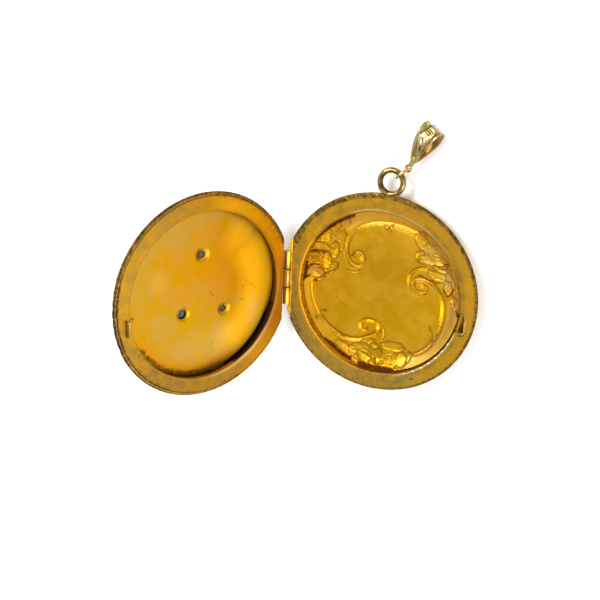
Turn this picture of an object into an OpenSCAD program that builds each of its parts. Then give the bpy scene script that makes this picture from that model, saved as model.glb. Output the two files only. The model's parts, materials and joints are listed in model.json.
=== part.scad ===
// Round photo locket, open, lying on the back of its relief leaf, with a jump ring and a pierced bail.
// Millimetres. +X runs from the hinge to the catch, +Y to the hanging loop, +Z up.
// Each leaf is drawn in its own frame: origin at the leaf's centre in the land plane,
// +X away from the hinge, +Y to the loop, +Z out of the hollow inner side.

/* [Leaves] */
// Radius of each leaf over its rounded edge
leaf_r = 16; // [15:0.5:18]
// Radius of the opening inside the land
opening_r = 13.1; // [12.6:0.1:13.2]
// How far the opening lies from the leaf's centre, away from the hinge
opening_shift = 0.3; // [0.2:0.05:0.35]
// Thickness of the land ring
land_t = 0.65; // [0.6:0.05:0.7]
// Thickness of the stamped sheet
sheet_t = 0.4; // [0.35:0.05:0.45]
// Depth of the hollow in each leaf
floor_depth = 1.8; // [1.6:0.1:2]
// Height of the stamped relief, and of the border on the back
relief_h = 0.45; // [0.35:0.05:0.5]
// Angle between the two hollow sides, 0 when shut and 180 when flat
open_angle = 115; // [100:1:135]

/* [Hinge] */
// Distance from the hinge axis to each leaf's centre
hinge_arm = 15.1; // [15:0.05:15.3]
// Radius of the knuckles
knuckle_r = 0.6; // [0.55:0.01:0.6]
// Length of the whole barrel
barrel_l = 9; // [8:0.5:10]
// Radius of the hinge pin
pin_r = 0.25; // [0.2:0.01:0.28]

/* [Loop, ring and bail] */
// Radius of the loop along the middle of its wire
loop_r = 1.8; // [1.7:0.05:1.9]
// Radius of the loop's wire
loop_wire_r = 0.45; // [0.4:0.01:0.48]
// Radius of the jump ring along the middle of its wire
ring_r = 1.1; // [1.1:0.05:1.2]
// Length of the bail above its eyelet
bail_l = 6.9; // [6.6:0.1:7.2]
// Width of the bail between its two ears
bail_w = 3.3; // [3.2:0.1:3.8]

/* [Stones] */
// Radius of each stone at its girdle
stone_r = 0.95; // [0.9:0.01:1]

/* [Hidden] */
$fn = 96;

gold = [0.77, 0.57, 0.13];
bright_gold = [0.88, 0.63, 0.10];
worn_gold = [0.68, 0.53, 0.22];
pale_gold = [0.80, 0.69, 0.40];
stone_blue = [0.62, 0.76, 0.90];

// Leaves
clear = 0.02;
land_gap = 0.1;
edge_r = land_t / 2;
collar_t = 0.35;
back_r = 14.15;
flank_r = 15.55;
flank_inner_r = 15.1;
relief_back = floor_depth + sheet_t + relief_h;
gem_back = floor_depth + sheet_t;
relief_chord = 14.5;
gem_chord = 14.2;
axis_up = land_gap / 2;
cut = 20;

// Hinge
hinge_y = 0.3;
knuckle_gap = 0.08;
knuckle_l = (barrel_l - 2 * knuckle_gap) / 3;
knuckle_pitch = knuckle_l + knuckle_gap;
pin_clear = 0.02;
strip_x = [14.35, 14.85];
strip_y = [5.6, 6.8];

// Catch
catch_y = [-3.4, -0.9];
tongue_x = [13.5, 14.05];
tongue_h = 0.8;
catch_clear = 0.15;

// Stones: each row is [x, y, radius of the hole, radius of the dimple]
STONES = [[0, 6.1, 0.58, 1.15], [3.6, -2.8, 0.78, 1.1], [-3.9, -3.3, 0.55, 1.05]];
boss_r = 1.5;
boss_h = 0.5;
seat_gap = 0.03;
girdle_t = 0.06;
pavilion_h = 0.75;
crown_h = 0.28;
table_r = 0.52;
girdle_z = -gem_back - 0.4;

// The part's own origin: middle of its box, on the surface that it lies on
gem_reach = (hinge_arm + back_r) * cos(open_angle) - (gem_back + axis_up) * sin(open_angle);
hinge_x = -(hinge_arm + leaf_r + gem_reach) / 2;
relief_x = hinge_x + hinge_arm;
bail_top = 27.08;
relief_y = -(bail_top - leaf_r) / 2;

// Relief: each group is turned to one of these angles about the leaf's centre
GROUPS = [134, 17, 259.5];
scroll_r = 11.4;
scroll_rise = 3;
scroll_turn = 17;
scroll_half = 0.5;
volute_at = 6.6;
volute_r = [1.85, 0.5];
volute_angle = 420;
rose_at = [11.3, 25.5];
rose_r = 2.15;
// Leaves of one group: each row is [radius, angle, turn from the tangent, half length, half width]
LEAVES = [
    [12.0, 7, 6, 2.5, 1.0],
    [12.3, -9, -8, 2.4, 0.85],
    [10.7, 4, 22, 2.1, 0.9],
    [9.5, 13, 38, 1.5, 0.8],
    [9.3, 34, -35, 1.6, 0.75],
    [11.6, 40, -8, 1.7, 0.9],
    [10.5, -50, 40, 0.8, 0.35]
];

// Relief shell mesh
mesh_turns = 104;
mesh_start = 4.5;
mesh_step = 0.45;
floor_edge = 13.05;
FLOOR_R = concat([2.4], [for (r = [mesh_start : mesh_step : floor_edge + 0.01]) r]);

// Loop, jump ring and bail, placed from the relief leaf's centre
loop_at = [1.2, 17.8, -edge_r];
ring_azimuth = 45;
ring_wire_r = 0.17;
ring_out = 0.25;
ring_drop = 0.3;
eyelet_drop = 0.35;
eyelet_r = 0.46;
eyelet_wire_r = 0.13;
eyelet_t = 2 * eyelet_wire_r;
bail_azimuth = 60.5;
bail_tilt = 1.5;
bail_roll = -18;
neck_l = 0.9;
bail_t = 0.3;
bail_bulge = 1.5;
bail_flare = 0.2;
bail_neck_w = 0.16;
bail_steps = 30;
bail_cells = 8;
bail_start = 34;

// Points of an arc from angle a to angle b
function arc_points(centre, r, a, b, n) =
    [for (i = [0 : n]) centre + r * [cos(a + (b - a) * i / n), sin(a + (b - a) * i / n)]];

function polar(r, a) = [r * cos(a), r * sin(a)];
function turned(p, a) = [p.x * cos(a) + p.y * sin(a), p.y * cos(a) - p.x * sin(a)];

// Distance from a point to a stretch of line, and to a whole path
function stretch_distance(p, a, b) =
    let (ab = b - a, t = max(0, min(1, ((p - a) * ab) / (ab * ab)))) norm(p - a - t * ab);
function path_distance(p, path) =
    min([for (i = [0 : len(path) - 2]) stretch_distance(p, path[i], path[i + 1])]);

// A rounded ridge, 1 in the middle and 0 at its side
function ridge(t) = t < 1 ? sqrt(1 - t * t) : 0;

// The scroll: an arc along the border that sweeps in and ends in a volute
SCROLL = concat(
    [for (a = [-80 : 8 : -1]) polar(scroll_r - scroll_rise * exp(a / scroll_turn), a)],
    [for (a = [0 : 30 : volute_angle])
        [volute_at, 0] + polar(volute_r[0] - (volute_r[0] - volute_r[1]) * a / volute_angle, a)]
);
function scroll_height(p) = 0.75 * ridge(path_distance(p, SCROLL) / scroll_half);

// The rose: five petals that dome towards a small bud
function rose_height(p) =
    let (q = p - polar(rose_at[0], rose_at[1]), d = norm(q), a = atan2(q.y, q.x),
         edge = rose_r * (0.84 + 0.16 * abs(cos(2.5 * a))),
         bud = 0.6 + 0.4 * abs(sin(90 * d)))
    d < edge ? bud * ridge(d / edge) : 0;

// A leaf: a lobed oval with a groove along its middle
function leaf_height(p, row) =
    let (q = turned(p - polar(row[0], row[1]), row[1] + 90 + row[2]),
         t = q.x / row[3],
         width = row[4] * (0.85 + 0.15 * cos(720 * t)),
         d = norm([t, q.y / width]))
    0.8 * ridge(d) * (1 - 0.45 * ridge(abs(q.y) / 0.3));

function group_height(p) =
    max(concat([scroll_height(p), rose_height(p)], [for (row = LEAVES) leaf_height(p, row)]));
function relief_height(p) =
    norm(p) < mesh_start ? 0 : relief_h * min(1, max([for (g = GROUPS) group_height(turned(p, g))]));

// Rings of the relief shell, from the middle of its inner face over the rim to the middle of its back.
// The rim is pressed flat along the hinge.
function held(p, limit) = [max(p.x, -limit), p.y, p.z];
function ring_points(r, z, limit) =
    [for (i = [0 : mesh_turns - 1]) let (q = polar(r, 360 * i / mesh_turns)) held([q.x, q.y, z], limit)];
function floor_points(r, drop) =
    [for (i = [0 : mesh_turns - 1])
        let (q = polar(r, 360 * i / mesh_turns)) [q.x, q.y, -floor_depth - drop - relief_height(q)]];

inner_limit = relief_chord - sheet_t;
rim_z = -land_t - clear;
SHELL_RINGS = concat(
    [for (r = FLOOR_R) floor_points(r, 0)],
    [ring_points(floor_edge + 0.5, -floor_depth - relief_h, inner_limit),
     ring_points(back_r - 0.3, -floor_depth - relief_h, inner_limit),
     ring_points(flank_inner_r, rim_z, inner_limit),
     ring_points(flank_r, rim_z, relief_chord),
     ring_points(back_r + 0.2, -relief_back + 0.15, relief_chord),
     ring_points(back_r, -relief_back, relief_chord),
     ring_points(floor_edge + 0.45, -relief_back, relief_chord),
     ring_points(floor_edge + 0.15, -relief_back + relief_h, relief_chord)],
    [for (i = [len(FLOOR_R) - 1 : -1 : 0]) floor_points(FLOOR_R[i], sheet_t)]
);

module relief_shell_mesh() {
    rings = len(SHELL_RINGS);
    last = rings * mesh_turns;
    points = concat([for (ring = SHELL_RINGS) each ring],
                    [[0, 0, -floor_depth], [0, 0, -floor_depth - sheet_t]]);
    sides = [for (k = [0 : rings - 2], i = [0 : mesh_turns - 1])
        let (j = (i + 1) % mesh_turns, a = k * mesh_turns, b = a + mesh_turns)
        each [[a + i, a + j, b + j], [a + i, b + j, b + i]]];
    inner_cap = [for (i = [0 : mesh_turns - 1]) [last, (i + 1) % mesh_turns, i]];
    outer_cap = [for (i = [0 : mesh_turns - 1])
        let (a = last - mesh_turns) [last + 1, a + i, a + (i + 1) % mesh_turns]];
    polyhedron(points, concat(sides, inner_cap, outer_cap));
}

// Places a leaf's own frame in the part's frame
module at_relief_leaf() {
    translate([relief_x, relief_y, relief_back]) children();
}
module at_gem_leaf() {
    translate([hinge_x, relief_y, relief_back + axis_up])
        rotate([0, -open_angle, 0])
            mirror([0, 0, 1])
                translate([hinge_arm, 0, -axis_up])
                    children();
}
module at_hinge() {
    translate([-hinge_arm, hinge_y, axis_up]) rotate([-90, 0, 0]) children();
}

// Land ring with its rounded edge, cut along the hinge, and on one leaf a collar that stands on the floor
module leaf_ring(chord, collar = false) {
    difference() {
        union() {
            rotate_extrude()
                polygon(concat([[opening_r - 1, -land_t]],
                               arc_points([leaf_r - edge_r, -edge_r], edge_r, -90, 90, 8),
                               [[opening_r - 1, 0]]));
            if (collar)
                translate([opening_shift, 0, -floor_depth + clear])
                    cylinder(r = opening_r + collar_t, h = floor_depth - clear - land_t / 2);
        }
        translate([opening_shift, 0, -floor_depth - 1]) cylinder(r = opening_r, h = floor_depth + 2);
        translate([-chord - cut, -cut, -cut]) cube([cut, 2 * cut, 2 * cut]);
    }
}

module knuckle(place) {
    translate([0, 0, place * knuckle_pitch - knuckle_l / 2]) cylinder(r = knuckle_r, h = knuckle_l, $fn = 48);
}
module barrel_bore() {
    at_hinge() translate([0, 0, -barrel_l]) cylinder(r = pin_r + pin_clear, h = 2 * barrel_l, $fn = 48);
}

module hinge_strip() {
    translate([0, hinge_y, -land_t])
        linear_extrude(land_t)
            polygon([[-strip_x[0], -strip_y[1]], [-strip_x[0], strip_y[1]],
                     [-strip_x[1], strip_y[0]], [-strip_x[1], -strip_y[0]]]);
}

// Wire loop on the leaf's edge, with the solder that fills its foot
module loop() {
    solder_w = 2.6;
    solder_in = 0.1;
    solder_y = [leaf_r - 1.2, leaf_r + 0.25];
    translate(loop_at) rotate_extrude() translate([loop_r, 0]) circle(r = loop_wire_r, $fn = 32);
    translate([loop_at.x - solder_w / 2, solder_y[0], -land_t + solder_in])
        cube([solder_w, solder_y[1] - solder_y[0], land_t - 2 * solder_in]);
}

module relief_frame() {
    room = knuckle_r + 0.12;
    color(worn_gold)
        at_relief_leaf()
            difference() {
                union() {
                    leaf_ring(relief_chord, collar = true);
                    hinge_strip();
                    at_hinge() {
                        knuckle(-1);
                        knuckle(1);
                    }
                    loop();
                }
                barrel_bore();
                at_hinge() translate([0, 0, -knuckle_l / 2 - knuckle_gap])
                    cylinder(r = room, h = knuckle_l + 2 * knuckle_gap, $fn = 48);
                translate([tongue_x[0] - 2, catch_y[0] - catch_clear, -tongue_h - 2 * catch_clear])
                    cube([tongue_x[1] - tongue_x[0] + 2 + catch_clear,
                          catch_y[1] - catch_y[0] + 2 * catch_clear, 3]);
            }
}

module relief_shell() {
    color(gold) at_relief_leaf() relief_shell_mesh();
}

// Solid of revolution with a flat back, cut along the hinge
module pan(back_z, back_edge, rim_r, top_z, chord) {
    difference() {
        rotate_extrude()
            polygon([[0, back_z], [back_edge, back_z], [back_edge + 0.2, back_z + 0.12],
                     [rim_r, rim_z], [rim_r, top_z], [0, top_z]]);
        translate([-chord - cut, -cut, -cut]) cube([cut, 2 * cut, 2 * cut]);
    }
}

// Boss for one stone: a raised seat outside, a dimple and a hole inside
module stone_boss() {
    translate([0, 0, -gem_back - boss_h])
        cylinder(r1 = boss_r - 0.12, r2 = boss_r, h = boss_h + sheet_t / 2, $fn = 48);
}
module stone_room(hole_r, dimple_r) {
    seat_r = stone_r + seat_gap;
    seat_rise = pavilion_h * (seat_r - hole_r) / stone_r;
    translate([0, 0, -gem_back - boss_h - 1])
        cylinder(r = seat_r, h = girdle_z + gem_back + boss_h + 1, $fn = 48);
    translate([0, 0, girdle_z]) cylinder(r1 = seat_r, r2 = hole_r, h = seat_rise, $fn = 48);
    translate([0, 0, girdle_z + seat_rise / 2]) cylinder(r = hole_r, h = 3, $fn = 48);
    translate([0, 0, -floor_depth - 0.3]) cylinder(r1 = hole_r, r2 = dimple_r, h = 0.35, $fn = 48);
}

module gem_shell() {
    color(bright_gold)
        at_gem_leaf()
            difference() {
                union() {
                    difference() {
                        pan(-gem_back, back_r, flank_r, rim_z, gem_chord);
                        pan(-floor_depth, back_r - 0.25, flank_inner_r, 1, gem_chord - sheet_t);
                    }
                    for (s = STONES) translate([s[0], s[1], 0]) stone_boss();
                }
                for (s = STONES) translate([s[0], s[1], 0]) stone_room(s[2], s[3]);
            }
}

module gem_frame() {
    room = knuckle_r + 0.15;
    color(worn_gold)
        at_gem_leaf()
            difference() {
                union() {
                    leaf_ring(gem_chord);
                    at_hinge() knuckle(0);
                    translate([-hinge_arm, hinge_y - knuckle_l / 2, -land_t + clear])
                        cube([hinge_arm - gem_chord + 0.5, knuckle_l, land_t - 2 * clear]);
                    translate([tongue_x[0], catch_y[0], -land_t / 2])
                        cube([tongue_x[1] - tongue_x[0], catch_y[1] - catch_y[0], tongue_h + land_t / 2]);
                }
                barrel_bore();
                translate([tongue_x[1], catch_y[0], -land_t / 2]) cube([0.35, catch_y[1] - catch_y[0], 2]);
                for (side = [-1, 1])
                    at_hinge() translate([0, 0, side * knuckle_pitch - knuckle_l / 2 - knuckle_gap])
                        cylinder(r = room, h = knuckle_l + 2 * knuckle_gap, $fn = 48);
            }
}

module hinge_pin() {
    color(pale_gold)
        at_relief_leaf()
            at_hinge() translate([0, 0, -barrel_l / 2]) cylinder(r = pin_r, h = barrel_l, $fn = 48);
}

// A round cut stone: a table, eight main facets on the crown and a pointed pavilion
module stone(row) {
    color(stone_blue)
        at_gem_leaf()
            translate([row[0], row[1], girdle_z])
                hull() {
                    translate([0, 0, -girdle_t]) cylinder(r = stone_r, h = girdle_t, $fn = 16);
                    translate([0, 0, pavilion_h - 0.01]) cylinder(r = 0.01, h = 0.01, $fn = 8);
                    translate([0, 0, -girdle_t - crown_h]) cylinder(r = table_r, h = 0.01, $fn = 8);
                }
}

// The jump ring stands in the loop and hangs on its wire. Its own wire runs through the bail's eyelet.
function ahead(azimuth, out, drop) = [out * cos(azimuth), out * sin(azimuth), -drop];
loop_wire_at = loop_at + ahead(ring_azimuth, loop_r, 0);
ring_at = loop_wire_at + ahead(ring_azimuth, ring_out, ring_drop);
bail_at = ring_at + ahead(ring_azimuth, sqrt(pow(ring_r, 2) - pow(eyelet_drop, 2)), eyelet_drop);

module jump_ring() {
    color(pale_gold)
        at_relief_leaf()
            translate(ring_at)
                rotate([0, 0, ring_azimuth])
                    rotate([90, 0, 0])
                        rotate_extrude($fn = 64) translate([ring_r, 0]) circle(r = ring_wire_r, $fn = 24);
}

// The bail's band: a teardrop seen from the side, widest over the top, with its rims flared
bail_mid = neck_l + (bail_l - neck_l) / 2;
bail_half = (bail_l - neck_l) / 2;
function band_y(a) = bail_mid - bail_half * cos(a);
function band_z(a) = bail_bulge * sin(a) * pow(sin(a / 2), 1.3);
function band_width(a) = bail_neck_w + (bail_w / 2 - bail_neck_w) * pow(sin(a / 2), 1.5);
function band_normal(a) =
    let (d = [band_y(a + 0.5) - band_y(a - 0.5), band_z(a + 0.5) - band_z(a - 0.5)]) [-d.y, d.x] / norm(d);
function band_point(a, u, lift) =
    let (n = band_normal(a), up = lift + bail_flare * u * u * pow(sin(a / 2), 2))
    [u * band_width(a), band_y(a) + n.x * up, band_z(a) + n.y * up];
function band_angle(i) = bail_start + (360 - 2 * bail_start) * i / bail_steps;

module bail_band() {
    row = bail_cells + 1;
    points = [for (lift = [-bail_t / 2, bail_t / 2], i = [0 : bail_steps], j = [0 : bail_cells])
        band_point(band_angle(i), 2 * j / bail_cells - 1, lift)];
    under = row * (bail_steps + 1);
    skins = [for (i = [0 : bail_steps - 1], j = [0 : bail_cells - 1])
        let (a = i * row + j, b = a + row)
        each [[a, a + 1, b + 1], [a, b + 1, b], [under + a, under + b + 1, under + a + 1],
              [under + a, under + b, under + b + 1]]];
    edges = [for (i = [0 : bail_steps - 1])
        let (a = i * row, b = a + row, c = a + bail_cells, d = c + row)
        each [[a, b, under + b], [a, under + b, under + a], [c, under + d, d], [c, under + c, under + d]]];
    ends = [for (j = [0 : bail_cells - 1])
        let (a = j, b = bail_steps * row + j)
        each [[a, under + a + 1, a + 1], [a, under + a, under + a + 1],
              [b, b + 1, under + b + 1], [b, under + b + 1, under + b]]];
    polyhedron(points, concat(skins, edges, ends));
}

// A rib of wire laid on the front of the band, from angle a to angle b
module bail_rib(a, b, u_a, u_b, bow) {
    steps = 4;
    function rib_u(t) = u_a + (u_b - u_a) * t + bow * sin(180 * t);
    function rib_point(t) = band_point(a + (b - a) * t, rib_u(t), bail_t / 2);
    for (i = [0 : steps - 1])
        hull() {
            translate(rib_point(i / steps)) sphere(r = 0.16, $fn = 8);
            translate(rib_point((i + 1) / steps)) sphere(r = 0.16, $fn = 8);
        }
}

// A pointed opening through the front of the band
module bail_window(x, lean, low, high, w) {
    translate([x, (low + high) / 2, 0])
        rotate([0, 0, -lean])
            hull() {
                translate([0, (low - high) / 2, 0.25]) cylinder(r = 0.05, h = 3, $fn = 6);
                translate([0, 0.3, 0.25]) cylinder(r = w, h = 3, $fn = 12);
                translate([0, (high - low) / 2, 0.25]) cylinder(r = 0.05, h = 3, $fn = 6);
            }
}

module bail() {
    color(pale_gold)
        at_relief_leaf()
            translate(bail_at)
                rotate([0, 0, bail_azimuth - 90])
                    rotate([bail_tilt, 0, 0]) rotate([0, bail_roll, 0]) {
                        difference() {
                            bail_band();
                            bail_window(0, 0, 2.6, 5.5, 0.3);
                            for (side = [-1, 1]) bail_window(0.75 * side, 13 * side, 3, 5.4, 0.22);
                        }
                        for (side = [-1, 1]) bail_rib(52, 165, 0.05 * side, 0.1 * side, 0.32 * side);
                        difference() {
                            union() {
                                cylinder(r = eyelet_r + eyelet_wire_r, h = eyelet_t, center = true, $fn = 24);
                                hull() {
                                    translate([0, eyelet_r + 0.08, 0]) sphere(r = 0.2, $fn = 12);
                                    translate([0, neck_l + 0.9, 0]) sphere(r = 0.36, $fn = 12);
                                }
                            }
                            cylinder(r = eyelet_r - eyelet_wire_r, h = 3, center = true, $fn = 24);
                        }
                    }
}

relief_shell();
relief_frame();
gem_shell();
gem_frame();
hinge_pin();
stone(STONES[0]);  // stone_1
stone(STONES[1]);  // stone_2
stone(STONES[2]);  // stone_3
jump_ring();
bail();
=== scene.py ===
"""Round gold locket, lying open: stamped relief leaf, stone-set leaf, hinge, catch, loop, jump ring and bail.

Every leaf piece is modelled in its leaf's own frame, in millimetres: the origin is the leaf's centre in the
land plane, +X runs away from the hinge, +Y to the hanging loop and +Z out of the hollow inner side.
"""
from __future__ import annotations

import json
import logging
import math
from contextlib import contextmanager
from dataclasses import dataclass, field
from enum import Enum
from typing import Callable, Iterator, Sequence

import bpy
import numpy as np
from mathutils import Matrix, Vector

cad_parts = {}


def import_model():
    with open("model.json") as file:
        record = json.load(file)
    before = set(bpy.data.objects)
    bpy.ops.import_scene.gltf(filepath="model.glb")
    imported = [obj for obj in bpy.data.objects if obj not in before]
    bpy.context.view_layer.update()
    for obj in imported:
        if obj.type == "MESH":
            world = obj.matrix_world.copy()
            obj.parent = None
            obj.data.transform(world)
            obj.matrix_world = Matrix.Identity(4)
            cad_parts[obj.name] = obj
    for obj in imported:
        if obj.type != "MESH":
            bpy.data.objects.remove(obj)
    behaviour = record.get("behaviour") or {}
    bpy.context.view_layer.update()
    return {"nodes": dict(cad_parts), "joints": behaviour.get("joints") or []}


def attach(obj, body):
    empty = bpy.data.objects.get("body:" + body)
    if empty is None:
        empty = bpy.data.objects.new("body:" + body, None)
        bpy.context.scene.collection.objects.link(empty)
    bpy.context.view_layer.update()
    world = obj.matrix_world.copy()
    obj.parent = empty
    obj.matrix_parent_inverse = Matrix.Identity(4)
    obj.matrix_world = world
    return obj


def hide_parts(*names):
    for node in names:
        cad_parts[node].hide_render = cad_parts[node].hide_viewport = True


Point = tuple[float, float]
Colour = tuple[float, float, float, float]
Points = np.ndarray

LOG = logging.getLogger("locket")
MM = 0.001
# Angle between the leaves as they lie, in degrees
OPEN_ANGLE = 115.0
# Hinge axis in a leaf's frame: distance from the leaf's centre, middle of the barrel, height over the land
HINGE_ARM = 15.1
HINGE_Y = 0.3
AXIS_UP = 0.05
# Points closer than this are merged
MERGE = 1e-5
# Edges up to this angle are shaded smooth, in degrees
SMOOTH_ANGLE = 38.0


class Body(Enum):
    """The two rigid halves of the locket."""

    RELIEF = "relief_leaf"
    GEM = "gem_leaf"


class Slot(Enum):
    """Material slots of the record, passed with the pieces but not read."""

    RELIEF = "relief_gold"
    LAND = "land_gold"
    PAN = "pan_gold"
    BAIL = "bail_gold"


def leaf_matrix(body: Body, hinge: Vector) -> Matrix:
    """Places a leaf's own frame, in millimetres, in the object's frame, in metres.

    Args:
        body: The half that the leaf belongs to.
        hinge: A point of the hinge axis, level with the middle of the barrel.

    Returns:
        The matrix from the leaf's frame to the object's.
    """
    to_leaf = Matrix.Translation((HINGE_ARM, -HINGE_Y, -AXIS_UP))
    scale = Matrix.Scale(MM, 4)
    if body is Body.RELIEF:
        return Matrix.Translation(hinge) @ scale @ to_leaf
    turn = Matrix.Rotation(math.radians(-OPEN_ANGLE), 4, "Y")
    flip = Matrix.Scale(-1, 4, Vector((0, 0, 1)))
    return Matrix.Translation(hinge) @ scale @ turn @ flip @ to_leaf


# Mesh tools


def deselect_all() -> None:
    """Leaves object mode with nothing selected."""
    if bpy.context.object and bpy.context.object.mode != "OBJECT":
        bpy.ops.object.mode_set(mode="OBJECT")
    bpy.ops.object.select_all(action="DESELECT")


def activate(piece: bpy.types.Object) -> None:
    """Selects one object alone and makes it the active one.

    Args:
        piece: The object.
    """
    deselect_all()
    piece.select_set(True)
    bpy.context.view_layer.objects.active = piece


@contextmanager
def editing(piece: bpy.types.Object) -> Iterator[None]:
    """Opens a mesh for editing with all of it selected, and closes it again.

    Args:
        piece: The object.

    Returns:
        The time between opening and closing, as a context.
    """
    activate(piece)
    bpy.ops.object.mode_set(mode="EDIT")
    bpy.ops.mesh.select_all(action="SELECT")
    yield
    bpy.ops.object.mode_set(mode="OBJECT")


def named(name: str) -> bpy.types.Object:
    """Names the active object and its mesh.

    Args:
        name: Their new name.

    Returns:
        The object.
    """
    piece = bpy.context.active_object
    piece.name = name
    piece.data.name = name
    return piece


def coordinates(piece: bpy.types.Object) -> Points:
    """Reads a mesh's points.

    Args:
        piece: The mesh's object.

    Returns:
        An array with a row for each point.
    """
    flat = np.empty(len(piece.data.vertices) * 3)
    piece.data.vertices.foreach_get("co", flat)
    return flat.reshape(-1, 3)


def set_coordinates(piece: bpy.types.Object, points: Points) -> None:
    """Moves the mesh's points to the rows of an array."""
    piece.data.vertices.foreach_set("co", points.astype(np.float32).ravel())
    piece.data.update()


def spin_profile(name: str, profile: Sequence[Point], steps: int) -> bpy.types.Object:
    """Turns a closed profile round the Z axis.

    Args:
        name: The new object's name.
        profile: Points (radius, height) round the profile, with any stretch on the axis closing it.
        steps: Number of copies round the full turn.

    Returns:
        The closed solid of revolution.
    """
    deselect_all()
    bpy.ops.mesh.primitive_circle_add(vertices=len(profile), radius=1)
    piece = named(name)
    for vertex, (radius, height) in zip(piece.data.vertices, profile):
        vertex.co = (radius, 0, height)
    with editing(piece):
        bpy.ops.mesh.spin(steps=steps, angle=math.tau, center=(0, 0, 0), axis=(0, 0, 1), use_auto_merge=True)
        bpy.ops.mesh.select_all(action="SELECT")
        bpy.ops.mesh.remove_doubles(threshold=MERGE)
        bpy.ops.mesh.delete_loose()
        bpy.ops.mesh.select_all(action="SELECT")
        bpy.ops.mesh.normals_make_consistent(inside=False)
    return piece


def cut_flat(piece: bpy.types.Object, x: float) -> None:
    """Cuts off all that lies beyond a plane on the hinge side, and closes the cut.

    Args:
        piece: The piece, in its leaf's frame.
        x: Where the plane stands.
    """
    with editing(piece):
        bpy.ops.mesh.bisect(plane_co=(x, 0, 0), plane_no=(-1, 0, 0), use_fill=True, clear_outer=True)


def box_piece(name: str, low: Sequence[float], high: Sequence[float], bevel: float,
              segments: int = 3) -> bpy.types.Object:
    """Makes a block with rounded edges.

    Args:
        name: The new object's name.
        low: Lowest corner.
        high: Highest corner.
        bevel: Radius of the rounding.
        segments: Number of faces across each rounding.

    Returns:
        The block.
    """
    deselect_all()
    low_corner, high_corner = Vector(low), Vector(high)
    bpy.ops.mesh.primitive_cube_add(size=1)
    piece = named(name)
    size = high_corner - low_corner
    piece.data.transform(Matrix.Translation((low_corner + high_corner) / 2) @ Matrix.Diagonal((*size, 1)))
    with editing(piece):
        bpy.ops.mesh.bevel(offset=bevel, segments=segments, affect="EDGES")
    return piece


def prism(name: str, outline: Sequence[Point], low: float, high: float) -> bpy.types.Object:
    """Makes an upright prism.

    Args:
        name: The new object's name.
        outline: Its corners (x, y), counterclockwise from above.
        low: Height of its foot.
        high: Height of its top.

    Returns:
        The prism.
    """
    count = len(outline)
    corners = [(x, y, z) for z in (low, high) for x, y in outline]
    sides = [(i, (i + 1) % count, (i + 1) % count + count, i + count) for i in range(count)]
    mesh = bpy.data.meshes.new(name)
    mesh.from_pydata(corners, [], [tuple(range(count - 1, -1, -1)), tuple(range(count, 2 * count)), *sides])
    piece = bpy.data.objects.new(name, mesh)
    bpy.context.collection.objects.link(piece)
    return piece


def apply_modifier(piece: bpy.types.Object, kind: str, **settings: object) -> None:
    """Adds a modifier and applies it.

    Args:
        piece: The object.
        kind: The modifier's type.
        settings: Its settings by name.
    """
    activate(piece)
    modifier = piece.modifiers.new(kind.lower(), kind)
    for key, value in settings.items():
        setattr(modifier, key, value)
    bpy.ops.object.modifier_apply(modifier=modifier.name)


def cut_away(piece: bpy.types.Object, cutter: bpy.types.Object) -> None:
    """Takes the cutter's shape out of a piece and removes the cutter."""
    apply_modifier(piece, "BOOLEAN", operation="DIFFERENCE", object=cutter, solver="EXACT")
    bpy.data.objects.remove(cutter)


def drop_slivers(piece: bpy.types.Object, size: float) -> None:
    """Takes out the slivers that cuts leave behind.

    Args:
        piece: The object.
        size: Edges and faces thinner than this go, in millimetres.
    """
    with editing(piece):
        bpy.ops.mesh.dissolve_degenerate(threshold=size)


def join(name: str, pieces: Sequence[bpy.types.Object]) -> bpy.types.Object:
    """Joins pieces into one object.

    Args:
        name: Its new name.
        pieces: The pieces, the first of which takes in the others.

    Returns:
        The joined object.
    """
    activate(pieces[0])
    for piece in pieces:
        piece.select_set(True)
    bpy.ops.object.join()
    return named(name)


def melt_together(piece: bpy.types.Object, voxel: float, smoothing: int) -> None:
    """Fuses overlapping shells into one skin with soft solder fillets.

    Args:
        piece: The joined shells.
        voxel: Size of the remesh.
        smoothing: Number of smoothing passes.
    """
    apply_modifier(piece, "REMESH", mode="VOXEL", voxel_size=voxel, adaptivity=0.0)
    apply_modifier(piece, "SMOOTH", factor=0.5, iterations=smoothing)


def path_distance(points: Points, path: Sequence[Point]) -> Points:
    """Measures how far points lie from a path of straight stretches.

    Args:
        points: The points.
        path: The path's corners.

    Returns:
        Each point's distance.
    """
    nearest = np.full(len(points), np.inf)
    for start, end in zip(path[:-1], path[1:]):
        a, ab = np.array(start), np.array(end) - np.array(start)
        share = unit(((points - a) @ ab) / (ab @ ab))
        nearest = np.minimum(nearest, np.hypot(*(points - a - share[:, None] * ab).T))
    return nearest


def unit(value: Points) -> Points:
    """Limits values to the range from 0 to 1."""
    return np.clip(value, 0, 1)


# Paint: soft marks laid on a leaf, kept as attributes of the mesh

# Where a blot and a stroke have faded away, as shares of their half width
BLOT_FADE = 1.5
STROKE_FADE = 1.6
# How soon a face that turns away from the hollow loses its marks
INNER_SHARPNESS = 4


@dataclass(frozen=True)
class Blot:
    """A soft oval mark: middle, half length, half width, turn in degrees and strength."""

    x: float
    y: float
    length: float
    width: float
    turn: float = 0.0
    strength: float = 1.0

    def laid_on(self, points: Points) -> Points:
        """Lays the mark on points.

        Args:
            points: The points.

        Returns:
            The mark's strength at each.
        """
        angle = math.radians(self.turn)
        along = (points[:, 0] - self.x) * math.cos(angle) + (points[:, 1] - self.y) * math.sin(angle)
        across = (points[:, 1] - self.y) * math.cos(angle) - (points[:, 0] - self.x) * math.sin(angle)
        distance = np.sqrt((along / self.length) ** 2 + (across / self.width) ** 2)
        return self.strength * unit(BLOT_FADE - distance)


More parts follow.
